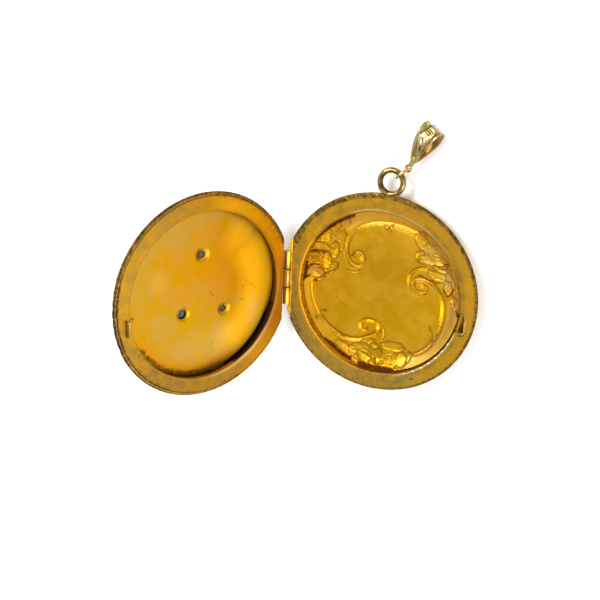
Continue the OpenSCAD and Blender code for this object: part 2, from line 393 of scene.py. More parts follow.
@dataclass(frozen=True)
class Arc:
    """A soft mark along a ring: first and last angle, inner and outer radius, and strength."""

    start: float
    end: float
    inner: float
    outer: float
    strength: float = 1.0
    soft_angle: float = 8.0
    soft_radius: float = 0.25

    def laid_on(self, points: Points) -> Points:
        """Lays the mark on points.

        Args:
            points: The points.

        Returns:
            The mark's strength at each.
        """
        radius = np.hypot(points[:, 0], points[:, 1])
        middle, half = (self.start + self.end) / 2, (self.end - self.start) / 2
        angle = np.degrees(np.arctan2(points[:, 1], points[:, 0]))
        off = np.abs((angle - middle + 180) % 360 - 180)
        along = unit((half - off) / self.soft_angle + 1)
        across = unit(np.minimum(radius - self.inner, self.outer - radius) / self.soft_radius + 1)
        return self.strength * along * across


@dataclass(frozen=True)
class Stroke:
    """A soft line through points, for creases and edges: its path, half width and strength."""

    path: tuple[Point, ...]
    width: float = 0.14
    strength: float = 1.0

    def laid_on(self, points: Points) -> Points:
        """Returns the mark's strength at each point."""
        distance = path_distance(points[:, :2], self.path)
        return self.strength * unit(STROKE_FADE - distance / self.width)


Mark = Blot | Arc | Stroke
MARK_NAMES = ("tarnish_and_shadow", "stain_and_shadow", "warm", "bright", "shade", "wear_and_highlight")


def marks_on(points: Points, marks: Sequence[Mark]) -> Points:
    """Lays several marks over each other.

    Args:
        points: The points.
        marks: The marks.

    Returns:
        The strongest mark's strength at each point, from 0 to 1.
    """
    level = np.zeros(len(points))
    for mark in marks:
        level = np.maximum(level, mark.laid_on(points))
    return unit(level)


@dataclass(frozen=True)
class Marks:
    """All the marks of one piece, in six kinds.

    The tarnish and stain marks are ragged, dark grey-brown and red-brown: mostly real oxide and stains, in
    places also painted shadow at the foot of walls and in the dimples. The warm marks are a soft orange tint,
    the bright marks painted highlights and reflections in lively yellow, the shade marks painted shade in
    creases, gaps, recesses and under lips, and the worn marks a pale rubbed tone that also paints highlights
    on lips and edges.
    """

    tarnish_and_shadow: tuple[Mark, ...] = ()
    stain_and_shadow: tuple[Mark, ...] = ()
    warm: tuple[Mark, ...] = ()
    bright: tuple[Mark, ...] = ()
    shade: tuple[Mark, ...] = ()
    wear_and_highlight: tuple[Mark, ...] = ()

    def paint(self, piece: bpy.types.Object, inner_only: bool = False, crease_shade: Points | float = 0.0) -> None:
        """Writes the marks, and the leaf's own coordinates, as attributes of the mesh.

        Args:
            piece: The piece, in its leaf's frame.
            inner_only: Whether only the faces that look into the hollow take the marks.
            crease_shade: Least painted shade at each point, along the crease lines of the relief.
        """
        points = coordinates(piece)
        shown = np.ones(len(points))
        if inner_only:
            normals = np.empty(points.size, dtype=np.float32)
            piece.data.vertex_normals.foreach_get("vector", normals)
            shown = unit(INNER_SHARPNESS * normals[2::3])
        leaf = piece.data.attributes.new("leaf", "FLOAT_VECTOR", "POINT")
        leaf.data.foreach_set("vector", points.astype(np.float32).ravel())
        for name in MARK_NAMES:
            attribute = piece.data.attributes.new(name, "FLOAT", "POINT")
            level = marks_on(points, getattr(self, name))
            if name == "shade":
                level = np.maximum(level, crease_shade)
            attribute.data.foreach_set("value", (level * shown).astype(np.float32))


# Finishes: the nodes of the materials


def srgb(red: int, green: int, blue: int) -> Colour:
    """Makes a linear colour from display values.

    Args:
        red: Red, from 0 to 255.
        green: Green, from 0 to 255.
        blue: Blue, from 0 to 255.

    Returns:
        The colour with its alpha.
    """
    def channel(value: int) -> float:
        """Returns one linear channel."""
        share = value / 255
        return share / 12.92 if share <= 0.04045 else ((share + 0.055) / 1.055) ** 2.4
    return channel(red), channel(green), channel(blue), 1.0


class NodeBench:
    """Adds and wires nodes in one tree."""

    def __init__(self, tree: bpy.types.NodeTree) -> None:
        """Takes the tree to work in."""
        self.tree = tree

    def add(self, kind: str, settings: dict | None = None, **inputs: object) -> bpy.types.Node:
        """Adds a node.

        Args:
            kind: The node type's name.
            settings: Properties to set on the node.
            inputs: Values or sockets for inputs, by name with underscores for spaces.

        Returns:
            The new node.
        """
        node = self.tree.nodes.new(kind)
        for key, value in (settings or {}).items():
            setattr(node, key, value)
        for key, value in inputs.items():
            self.feed(node.inputs[key.replace("_", " ")], value)
        return node

    def feed(self, socket: bpy.types.NodeSocket, value: object) -> None:
        """Links a socket to an input, or sets the input's value.

        Args:
            socket: The input.
            value: The socket or the value.
        """
        if isinstance(value, bpy.types.NodeSocket):
            self.tree.links.new(value, socket)
        else:
            socket.default_value = value

    def math(self, operation: str, *values: object) -> bpy.types.NodeSocket:
        """Adds a math node.

        Args:
            operation: What it does.
            values: One to three values or sockets that it works on.

        Returns:
            Its result.
        """
        node = self.tree.nodes.new("ShaderNodeMath")
        node.operation = operation
        for socket, value in zip(node.inputs, values):
            self.feed(socket, value)
        return node.outputs[0]

    def mix(self, share: object, first: object, second: object) -> bpy.types.NodeSocket:
        """Mixes two colours.

        Args:
            share: Share of the second colour.
            first: The first colour.
            second: The second colour.

        Returns:
            The colour between them.
        """
        node = self.tree.nodes.new("ShaderNodeMix")
        node.data_type = "RGBA"
        self.feed(node.inputs[0], share)
        self.feed(node.inputs[6], first)
        self.feed(node.inputs[7], second)
        return node.outputs[2]

    def ramp(self, value: object, low: float, high: float, start: float = 0.0,
             end: float = 1.0) -> bpy.types.NodeSocket:
        """Moves a value smoothly from one range to another.

        Args:
            value: The value or socket.
            low: Foot of its range.
            high: Top of its range.
            start: Foot of the new range.
            end: Top of the new range.

        Returns:
            The new value.
        """
        node = self.tree.nodes.new("ShaderNodeMapRange")
        node.interpolation_type = "SMOOTHSTEP"
        for socket, given in zip(node.inputs, (value, low, high, start, end)):
            self.feed(socket, given)
        return node.outputs[0]


def blank_material(name: str) -> tuple[bpy.types.Material, NodeBench]:
    """Starts a material without nodes.

    Args:
        name: The material's name.

    Returns:
        The material and its bench.
    """
    material = bpy.data.materials.new(name)
    material.use_nodes = True
    material.node_tree.nodes.clear()
    return material, NodeBench(material.node_tree)


class Effects:
    """Shader node groups that every gold finish shares."""

    def __init__(self) -> None:
        """Builds the groups once."""
        self.blotch = self._blotch()
        self.wear = self._wear()
        self.scratch = self._scratch()

    @staticmethod
    def _group(name: str, inputs: dict[str, float], outputs: Sequence[str]
               ) -> tuple[bpy.types.NodeTree, NodeBench, bpy.types.NodeOutputs, bpy.types.NodeInputs]:
        """Starts a group with a vector input.

        Args:
            name: The group's name.
            inputs: Its number inputs with their usual values.
            outputs: Its outputs.

        Returns:
            The group, its bench, its given values and its results.
        """
        tree = bpy.data.node_groups.new(name, "ShaderNodeTree")
        tree.interface.new_socket(name="Vector", in_out="INPUT", socket_type="NodeSocketVector")
        for label, usual in inputs.items():
            socket = tree.interface.new_socket(name=label, in_out="INPUT", socket_type="NodeSocketFloat")
            socket.default_value = usual
        for label in outputs:
            tree.interface.new_socket(name=label, in_out="OUTPUT", socket_type="NodeSocketFloat")
        bench = NodeBench(tree)
        return tree, bench, bench.add("NodeGroupInput").outputs, bench.add("NodeGroupOutput").inputs

    def _blotch(self) -> bpy.types.NodeTree:
        """Breaks a soft painted mark into a ragged blotch with small islands round it.

        Returns:
            The group.
        """
        usual = {"Mark": 0, "Scale": 1.0, "Ragged": 0.8}
        tree, bench, given, results = self._group("ragged_blotch", usual, ("Amount",))
        noise = bench.add("ShaderNodeTexNoise", Vector=given["Vector"], Scale=given["Scale"], Detail=6.0,
                          Roughness=0.65)
        swing = bench.math("MULTIPLY", bench.math("SUBTRACT", noise.outputs[0], 0.5), given["Ragged"])
        level = bench.math("ADD", bench.math("MULTIPLY", swing, 2.0), given["Mark"])
        present = bench.ramp(given["Mark"], 0.0, 0.15)
        bench.feed(results[0], bench.math("MULTIPLY", bench.ramp(level, 0.25, 0.95), present))
        return tree

    def _wear(self) -> bpy.types.NodeTree:
        """Makes the fine grain, soft waves and hairline scratches of handled sheet metal.

        Returns:
            The group.
        """
        usual = {"Grain": 1.0, "Waves": 1.0, "Hairlines": 1.0, "Cloud": 1.0}
        tree, bench, given, results = self._group("handled_metal", usual, ("Height", "Tone"))
        vector = given["Vector"]
        fine = bench.add("ShaderNodeTexNoise", Vector=vector, Scale=9.0, Detail=4.0, Roughness=0.6)
        broad = bench.add("ShaderNodeTexNoise", Vector=vector, Scale=0.32, Detail=3.0, Roughness=0.5)
        stretched = bench.add("ShaderNodeMapping", Vector=vector, Rotation=(0, 0, math.radians(38)),
                              Scale=(0.5, 9.0, 1.0))
        lines = bench.add("ShaderNodeTexNoise", Vector=stretched.outputs[0], Scale=1.6, Detail=3.0)
        hair = bench.ramp(lines.outputs[0], 0.62, 0.68)
        height = bench.math("MULTIPLY", fine.outputs[0], given["Grain"])
        height = bench.math("ADD", height, bench.math("MULTIPLY", broad.outputs[0], given["Waves"]))
        height = bench.math("SUBTRACT", height, bench.math("MULTIPLY", hair, given["Hairlines"]))
        cloud = bench.add("ShaderNodeTexNoise", Vector=vector, Detail=5.0, Roughness=0.6,
                          Scale=bench.math("MULTIPLY", given["Cloud"], 0.3))
        bench.feed(results[0], height)
        bench.feed(results[1], cloud.outputs[0])
        return tree

    def _scratch(self) -> bpy.types.NodeTree:
        """Makes a single straight scratch.

        Returns:
            The group.
        """
        usual = {"X": 0, "Y": 0, "Turn": 0, "Half": 1, "Width": 0.08}
        tree, bench, given, results = self._group("scratch", usual, ("Amount",))
        parts = bench.add("ShaderNodeSeparateXYZ", Vector=given["Vector"])
        across_x = bench.math("SUBTRACT", parts.outputs[0], given["X"])
        across_y = bench.math("SUBTRACT", parts.outputs[1], given["Y"])
        cosine, sine = (bench.math(kind, given["Turn"]) for kind in ("COSINE", "SINE"))
        along = bench.math("ADD", bench.math("MULTIPLY", across_x, cosine),
                           bench.math("MULTIPLY", across_y, sine))
        side = bench.math("SUBTRACT", bench.math("MULTIPLY", across_y, cosine),
                          bench.math("MULTIPLY", across_x, sine))
        past_end = bench.math("SUBTRACT", bench.math("ABSOLUTE", along), given["Half"])
        beyond = bench.math("MAXIMUM", past_end, 0.0)
        distance = bench.math("ADD", bench.math("ABSOLUTE", side), beyond)
        amount = bench.math("SUBTRACT", 1.0, bench.math("DIVIDE", distance, given["Width"]))
        bench.feed(results[0], bench.math("MAXIMUM", amount, 0.0))
        return tree


@dataclass(frozen=True)
class Scratch:
    """A scratch: middle, direction in degrees, half length, half width and darkness."""

    x: float
    y: float
    turn: float
    half: float
    width: float = 0.09
    dark: float = 0.6


@dataclass(frozen=True)
class GoldFinish:
    """Old gold: its colours, gloss and marks.

    Grain, waves and hairlines are the strengths of the surface's wear. The values that end in dull say how
    far the painted highlights and the stain marks, painted shadow among them, count as dull, and the losses
    how far dullness takes away metal and gloss.
    """

    name: str
    base: Colour
    pale: Colour
    warm: Colour
    # Colours of the marks: a painted highlight, a red-brown and a grey-brown that in places paint shadow,
    # painted shade, and a pale wear that also paints highlights
    bright: Colour = srgb(255, 190, 12)
    stain_and_shadow: Colour = srgb(92, 38, 0)
    tarnish_and_shadow: Colour = srgb(70, 52, 20)
    shade: Colour = srgb(38, 18, 4)
    wear_and_highlight: Colour = srgb(232, 222, 180)
    roughness: float = 0.34
    grain: float = 0.25
    waves: float = 1.2
    hairlines: float = 0.2
    ragged: float = 0.8
    blotch_scale: float = 1.1
    cloud_scale: float = 1.0
    highlight_dull: float = 0.0
    painted: bool = True
    scratches: tuple[Scratch, ...] = ()
    cloud_low: float = 0.36
    cloud_high: float = 0.66
    stain_and_shadow_dull: float = 0.5
    metal_loss: float = 0.6
    gloss_loss: float = 0.3
    bump: float = 0.35
    bump_depth: float = 0.00004
    specular: float = 0.12

    def _coordinates(self, bench: NodeBench) -> bpy.types.NodeSocket:
        """Adds the coordinates that the patterns read.

        Args:
            bench: The material's nodes.

        Returns:
            The leaf's own coordinates, or the object's, in millimetres.
        """
        if self.painted:
            return bench.add("ShaderNodeAttribute", {"attribute_name": "leaf"}).outputs["Vector"]
        place = bench.add("ShaderNodeTexCoord").outputs["Object"]
        scaled = bench.add("ShaderNodeVectorMath", {"operation": "SCALE"}, Vector=place, Scale=1 / MM)
        return scaled.outputs[0]

    def _colour(self, bench: NodeBench, effects: Effects, leaf: bpy.types.NodeSocket,
                cloudy: bpy.types.NodeSocket) -> tuple[bpy.types.NodeSocket, bpy.types.NodeSocket | float]:
        """Mixes the base colour with the marks, painted highlights and painted shade among them.

        Args:
            bench: The material's nodes.
            effects: The node groups that the finishes share.
            leaf: The coordinates.
            cloudy: The slow change between base and pale.

        Returns:
            The colour, and how dull the marks make the metal.
        """
        colour = bench.mix(cloudy, self.base, self.pale)
        if not self.painted:
            return colour, 0.0
        marks = {name: bench.add("ShaderNodeAttribute", {"attribute_name": name}).outputs["Fac"]
                 for name in MARK_NAMES}
        blots = {name: bench.add("ShaderNodeGroup", {"node_tree": effects.blotch}, Vector=leaf,
                                 Mark=marks[name], Scale=self.blotch_scale, Ragged=self.ragged).outputs[0]
                 for name in ("tarnish_and_shadow", "stain_and_shadow")}
        colour = bench.mix(marks["warm"], colour, self.warm)
        colour = bench.mix(marks["bright"], colour, self.bright)
        colour = bench.mix(blots["stain_and_shadow"], colour, self.stain_and_shadow)
        colour = bench.mix(blots["tarnish_and_shadow"], colour, self.tarnish_and_shadow)
        colour = bench.mix(marks["wear_and_highlight"], colour, self.wear_and_highlight)
        colour = bench.mix(marks["shade"], colour, self.shade)
        dull = bench.math("MULTIPLY", blots["stain_and_shadow"], self.stain_and_shadow_dull)
        dull = bench.math("MAXIMUM", blots["tarnish_and_shadow"], dull)
        dull = bench.math("MAXIMUM", dull, bench.math("MULTIPLY", marks["bright"], self.highlight_dull))
        return colour, bench.math("MAXIMUM", dull, marks["shade"])

    def build(self, effects: Effects) -> bpy.types.Material:
        """Builds the material.

        Args:
            effects: The node groups that the finishes share.

        Returns:
            The material.
        """
        material, bench = blank_material(self.name)
        leaf = self._coordinates(bench)
        wear = bench.add("ShaderNodeGroup", {"node_tree": effects.wear}, Vector=leaf, Grain=self.grain,
                         Waves=self.waves, Hairlines=self.hairlines, Cloud=self.cloud_scale)
        cloudy = bench.ramp(wear.outputs["Tone"], self.cloud_low, self.cloud_high)
        colour, dull = self._colour(bench, effects, leaf, cloudy)
        height = wear.outputs["Height"]
        for line in self.scratches:
            mark = bench.add("ShaderNodeGroup", {"node_tree": effects.scratch}, Vector=leaf,
                             X=line.x, Y=line.y, Turn=math.radians(line.turn),
                             Half=line.half, Width=line.width).outputs[0]
            colour = bench.mix(bench.math("MULTIPLY", mark, line.dark), colour, self.tarnish_and_shadow)
            height = bench.math("SUBTRACT", height, mark)
        bump = bench.add("ShaderNodeBump", Strength=self.bump, Distance=self.bump_depth, Height=height)
        shader = bench.add("ShaderNodeBsdfPrincipled", Base_Color=colour, Normal=bump.outputs[0],
                           Specular_IOR_Level=self.specular)
        if self.painted:
            loss = bench.math("MULTIPLY", dull, self.metal_loss)
            bench.feed(shader.inputs["Metallic"], bench.math("SUBTRACT", 1.0, loss))
            rise = bench.math("MULTIPLY", dull, self.gloss_loss)
            bench.feed(shader.inputs["Roughness"], bench.math("ADD", self.roughness, rise))
        else:
            shader.inputs["Metallic"].default_value = 1.0
            shader.inputs["Roughness"].default_value = self.roughness
        bench.add("ShaderNodeOutputMaterial", Surface=shader.outputs[0])
        return material


@dataclass(frozen=True)
class StoneFinish:
    """Clear blue stone, paler in soft clouds."""

    name: str = "blue_stone"
    colour: Colour = srgb(22, 38, 52)
    pale: Colour = srgb(90, 126, 152)
    cloud_scale: float = 900.0
    roughness: float = 0.03
    ior: float = 1.76
    clear: float = 0.75

    def build(self) -> bpy.types.Material:
        """Builds the material.

        Returns:
            The material.
        """
        material, bench = blank_material(self.name)
        place = bench.add("ShaderNodeTexCoord").outputs["Object"]
        cloud = bench.add("ShaderNodeTexNoise", Vector=place, Scale=self.cloud_scale, Detail=2.0)
        colour = bench.mix(bench.ramp(cloud.outputs[0], 0.3, 0.7), self.colour, self.pale)
        shader = bench.add("ShaderNodeBsdfPrincipled", Base_Color=colour, Roughness=self.roughness)
        shader.inputs["IOR"].default_value = self.ior
        shader.inputs["Transmission Weight"].default_value = self.clear
        bench.add("ShaderNodeOutputMaterial", Surface=shader.outputs[0])
        return material


@dataclass(frozen=True)
class StudioFinish:
    """Plain pale surface under the object."""

    name: str = "studio_floor"
    colour: Colour = (0.93, 0.93, 0.93, 1.0)
    roughness: float = 0.9

    def build(self) -> bpy.types.Material:
        """Builds the material.

        Returns:
            The material.
        """
        material = bpy.data.materials.new(self.name)
        material.use_nodes = True
        shader = material.node_tree.nodes["Principled BSDF"]
        shader.inputs["Base Color"].default_value = self.colour
        shader.inputs["Roughness"].default_value = self.roughness
        return material


# Relief: petals, roses and bands sunk into the floor


def soft_step(value: Points) -> Points:
    """Returns 0 below 0, 1 above 1 and a smooth rise between."""
    share = unit(value)
    return share * share * (3 - 2 * share)


def smooth_path(knots: Sequence[Point], steps: int = 6) -> list[Point]:
    """Returns a smooth path through knots.

    Args:
        knots: The points that the path passes through.
        steps: Number of stretches between two knots.

    Returns:
        The points of the path.
    """
    rows = np.array([knots[0], *knots, knots[-1]], float)
    path: list[Point] = []
    for p0, p1, p2, p3 in zip(rows[:-3], rows[1:-2], rows[2:-1], rows[3:]):
        for t in np.arange(steps) / steps:
            point = 0.5 * (2 * p1 + (p2 - p0) * t + (2 * p0 - 5 * p1 + 4 * p2 - p3) * t ** 2
                           + (3 * p1 - p0 - 3 * p2 + p3) * t ** 3)
            path.append((float(point[0]), float(point[1])))
    path.append(tuple(rows[-1]))
    return path


@dataclass(frozen=True)
class Petal:
    """One petal or leaf: middle, turn, half length, half width, depth, lobes, vein and tilt."""

    x: float
    y: float
    turn: float
    length: float
    width: float
    depth: float = 0.7
    lobes: float = 0.0
    vein: float = 0.0
    tilt: float = 0.12
    lobe_count: int = 7
    vein_width: float = 0.13
    line_width: float = 0.1

    def parts_at(self, points: Points) -> tuple[Points, Points, Points]:
        """Lays the form on the floor.

        Args:
            points: Points of the floor.

        Returns:
            How far the form covers what lies under it, its depth and its outline, at each point.
        """
        angle = math.radians(self.turn)
        x, y = points[:, 0] - self.x, points[:, 1] - self.y
        along = (x * math.cos(angle) + y * math.sin(angle)) / self.length
        across = (y * math.cos(angle) - x * math.sin(angle)) / self.width
        outline = 1 + self.lobes * np.cos(self.lobe_count * np.arctan2(across, along))
        distance = np.hypot(along, across) / outline
        cover = soft_step((1.08 - distance) / 0.22)
        level = self.depth * (1 - 0.3 * distance ** 2) * (1 + self.tilt * across - self.tilt * along)
        midrib = np.exp(-((across * self.width / self.vein_width) ** 2))
        side_ribs = 0.5 + 0.5 * np.cos(9 * along + 5 * np.abs(across))
        level -= self.vein * self.depth * (midrib + 0.5 * side_ribs)
        line = np.exp(-(((distance - 1.06) * self.width / self.line_width) ** 2))
        return cover, level, line


@dataclass(frozen=True)
class Rose:
    """The heart of a rose: a bud in a coil of small petals."""

    x: float
    y: float
    radius: float
    turn: float = 0.0
    depth: float = 0.8
    coils: float = 2.7

    def parts_at(self, points: Points) -> tuple[Points, Points, Points]:
        """Lays the form on the floor.

        Args:
            points: Points of the floor.

        Returns:
            How far the form covers what lies under it, its depth and its lines, at each point.
        """
        x, y = points[:, 0] - self.x, points[:, 1] - self.y
        distance = np.hypot(x, y) / self.radius
        coil = distance * self.coils - (np.arctan2(y, x) - self.turn) / math.tau
        layer = coil - np.floor(coil)
        step = layer * (1 - soft_step((layer - 0.72) / 0.28))
        cover = soft_step((1.05 - distance) / 0.16)
        line = 0.8 * cover * np.exp(-(((layer - 0.9) / 0.12) ** 2)) * unit(distance * 4)
        return cover, self.depth * (0.6 + 0.5 * step), line


@dataclass(frozen=True)
class Band:
    """A sunk band along a path, narrower to its ends: knots, half width, depth and tapers."""

    knots: tuple[Point, ...]
    width: float = 0.38
    depth: float = 0.65
    start_taper: float = 0.05
    end_taper: float = 0.3
    end_width: float = 0.3

    def parts_at(self, points: Points) -> tuple[Points, Points, Points]:
        """Lays the band on the floor.

        Args:
            points: Points of the floor.

        Returns:
            How far the band covers what lies under it, its depth and its edges, at each point.
        """
        path = smooth_path(self.knots)
        nearest = np.full(len(points), np.inf)
        last = len(path) - 2
        for index, (start, end) in enumerate(zip(path[:-1], path[1:])):
            share = index / last
            narrow = min(1.0, self.end_width + share / self.start_taper,
                         self.end_width + (1 - share) / self.end_taper)
            nearest = np.minimum(nearest, path_distance(points, (start, end)) / (self.width * narrow))
        cover = soft_step((1.2 - nearest) / 0.5)
        edges = 0.5 * np.exp(-(((nearest - 1.15) / 0.25) ** 2))
        return cover, self.depth * soft_step(1.15 - nearest), edges


Form = Petal | Rose | Band

LEFT_SPRAY: tuple[Form, ...] = (
    Band(((-11.4, -0.2), (-11.45, -1.5), (-11.05, -3.4), (-10.1, -5.3), (-8.6, -7.0), (-6.6, -8.25),
          (-4.6, -8.8), (-2.8, -8.6), (-1.2, -7.9), (0.0, -7.1), (0.5, -6.2), (0.1, -5.4), (-0.9, -5.0),
          (-2.0, -5.25), (-2.6, -6.0), (-2.35, -6.75), (-1.7, -6.9), (-1.4, -6.4)), 0.42, 0.75, 0.05, 0.25),
    Band(((0.0, -4.8), (1.1, -5.8), (1.45, -7.0), (1.1, -8.2)), 0.18, 0.35, 0.3, 0.3),
    Petal(-5.6, 11.2, 40, 1.2, 0.45, 0.5, 0.08),
    Petal(-6.9, 9.7, 48, 2.1, 0.85, 0.5, 0.08, 0.2),
    Petal(-8.4, 8.9, 52, 2.2, 0.9, 0.55, 0.07, 0.2),
    Petal(-6.7, 7.3, 80, 1.7, 0.7, 0.45, 0.05, 0.2),
    Petal(-9.3, 7.7, 72, 1.6, 0.8, 0.75, 0.04, 0.15),
    Petal(-7.8, 5.6, 84, 1.4, 0.8, 0.7, 0.04, 0.15),
    Petal(-8.2, 2.6, 38, 1.45, 0.75, 0.6, 0.05, 0.2),
    Petal(-11.5, 7.0, 42, 1.3, 0.5, 0.5, 0.12),
    Petal(-12.3, 4.0, 84, 1.1, 0.75, 0.6),
    Petal(-12.1, 5.7, 55, 1.0, 0.65, 0.5),
    Petal(-10.5, 5.75, 2, 1.9, 0.9, 0.6, 0.06, 0.1, 0.3),
    Petal(-12.3, 1.1, 55, 0.85, 0.6, 0.5),
    Petal(-10.1, 0.6, 28, 0.95, 0.45, 0.55),
    Petal(-9.1, 3.7, 88, 1.4, 0.85, 0.8, 0.04, 0.0, -0.3),
    Petal(-11.0, 1.55, -3, 1.65, 0.95, 0.75, 0.04),
    Rose(-10.8, 3.65, 1.4, 0.8, 0.8))
RIGHT_SPRAY: tuple[Form, ...] = (
    Band(((6.1, -9.7), (8.0, -8.4), (9.45, -6.5), (10.3, -4.0), (10.5, -1.6), (10.2, 0.3), (9.2, 1.9),
          (8.0, 2.9), (6.9, 3.25), (5.8, 3.05), (5.35, 2.2), (5.7, 1.3), (6.6, 0.95), (7.4, 1.3), (7.6, 2.0),
          (7.0, 2.4)), 0.44, 0.75, 0.05, 0.25),
    Band(((8.7, 4.5), (7.3, 5.0), (5.9, 4.7), (4.95, 3.8), (4.65, 2.8), (4.8, 1.8), (5.5, 0.9), (6.5, 0.6),
          (7.5, 0.9)), 0.32, 0.65, 0.3, 0.3),
    Petal(12.4, 4.3, -62, 1.6, 0.7, 0.5, 0.1, 0.25),
    Petal(13.0, -0.9, -60, 1.0, 0.4, 0.5, 0.1),
    Petal(12.2, 0.7, -80, 1.3, 0.65, 0.6, 0.12, 0.2),
    Petal(12.2, 2.4, -75, 1.3, 0.6, 0.55, 0.1, 0.25),
    Petal(10.6, 4.3, -52, 2.0, 1.05, 0.6, 0.06, 0.3),
    Petal(9.0, 4.1, -12, 1.4, 0.75, 0.55, 0.08, 0.25),
    Petal(11.0, 2.2, -88, 1.35, 0.75, 0.7, 0.06, 0.3),
    Petal(9.5, 5.2, -12, 1.2, 0.45, 0.5, 0.06),
    Petal(6.6, 9.2, 128, 1.7, 1.25, 0.5, 0.05),
    Petal(8.3, 9.7, -22, 1.5, 0.8, 0.5, 0.05),
    Petal(10.1, 8.1, -56, 1.5, 0.85, 0.55, 0.05),
    Petal(7.3, 7.9, 100, 1.1, 0.7, 0.6, 0.04),
    Petal(6.2, 6.75, 78, 0.95, 0.8, 0.7),
    Petal(8.3, 6.55, 3, 2.3, 0.9, 0.65, 0.04, 0.08, 0.3),
    Rose(8.6, 7.9, 1.5, 2.0, 0.65))
LOW_SPRAY: tuple[Form, ...] = (
    Band(((5.4, 10.5), (3.2, 11.1), (0.4, 11.25), (-2.0, 10.85), (-4.0, 9.8), (-5.3, 8.2), (-5.75, 6.6),
          (-5.6, 5.1), (-4.95, 4.0), (-3.95, 3.6), (-3.1, 4.0), (-2.85, 4.9), (-3.25, 5.7), (-4.0, 5.9),
          (-4.7, 5.4), (-4.4, 5.0)), 0.42, 0.65, 0.05, 0.25),
    Band(((-6.3, 6.8), (-5.95, 5.0), (-5.3, 3.6), (-4.1, 3.05), (-3.0, 3.2)), 0.15, 0.35, 0.3, 0.3),
    Band(((-5.6, 2.65), (-4.6, 2.55), (-3.8, 2.75), (-3.2, 3.2)), 0.15, 0.4, 0.3, 0.3),
    Petal(-7.4, -10.8, -38, 1.5, 0.8, 0.6),
    Petal(-3.7, -12.2, -18, 1.6, 0.5, 0.5, 0.06),
    Petal(-5.0, -10.6, -26, 1.8, 0.8, 0.65, 0.06, 0.2),
    Petal(-1.2, -8.7, 20, 1.1, 0.5, 0.4, 0.05),
    Petal(-2.6, -10.2, 16, 1.9, 1.0, 0.5, 0.06, 0.25),
    Petal(-1.6, -11.6, -28, 1.5, 0.75, 0.6, 0.07, 0.3),
    Petal(0.0, -9.2, 0, 0.65, 0.5, 0.6),
    Petal(0.2, -12.4, -20, 1.0, 0.5, 0.5),
    Petal(2.7, -12.5, -4, 1.7, 0.6, 0.5),
    Petal(3.0, -8.75, 4, 1.9, 0.85, 0.5, 0.05, 0.1),
    Petal(5.6, -10.1, 72, 1.1, 0.55, 0.5),
    Petal(0.5, -10.9, 82, 1.3, 0.95, 0.7, 0.04),
    Petal(4.6, -10.7, 85, 1.3, 0.9, 0.8, 0.04, 0.0, -0.2),
    Rose(2.7, -11.0, 1.45, 1.0, 0.7),
    Petal(9.0, -5.4, -75, 0.95, 0.16, 0.4), Petal(9.65, -5.9, -110, 0.7, 0.14, 0.35),
    Petal(-9.2, -4.9, 20, 0.5, 0.12, 0.4), Petal(0.5, 10.55, 0, 0.35, 0.25, 0.5),
    Petal(1.3, 10.6, 60, 0.4, 0.25, 0.5), Petal(0.9, 10.1, -20, 0.4, 0.18, 0.4))
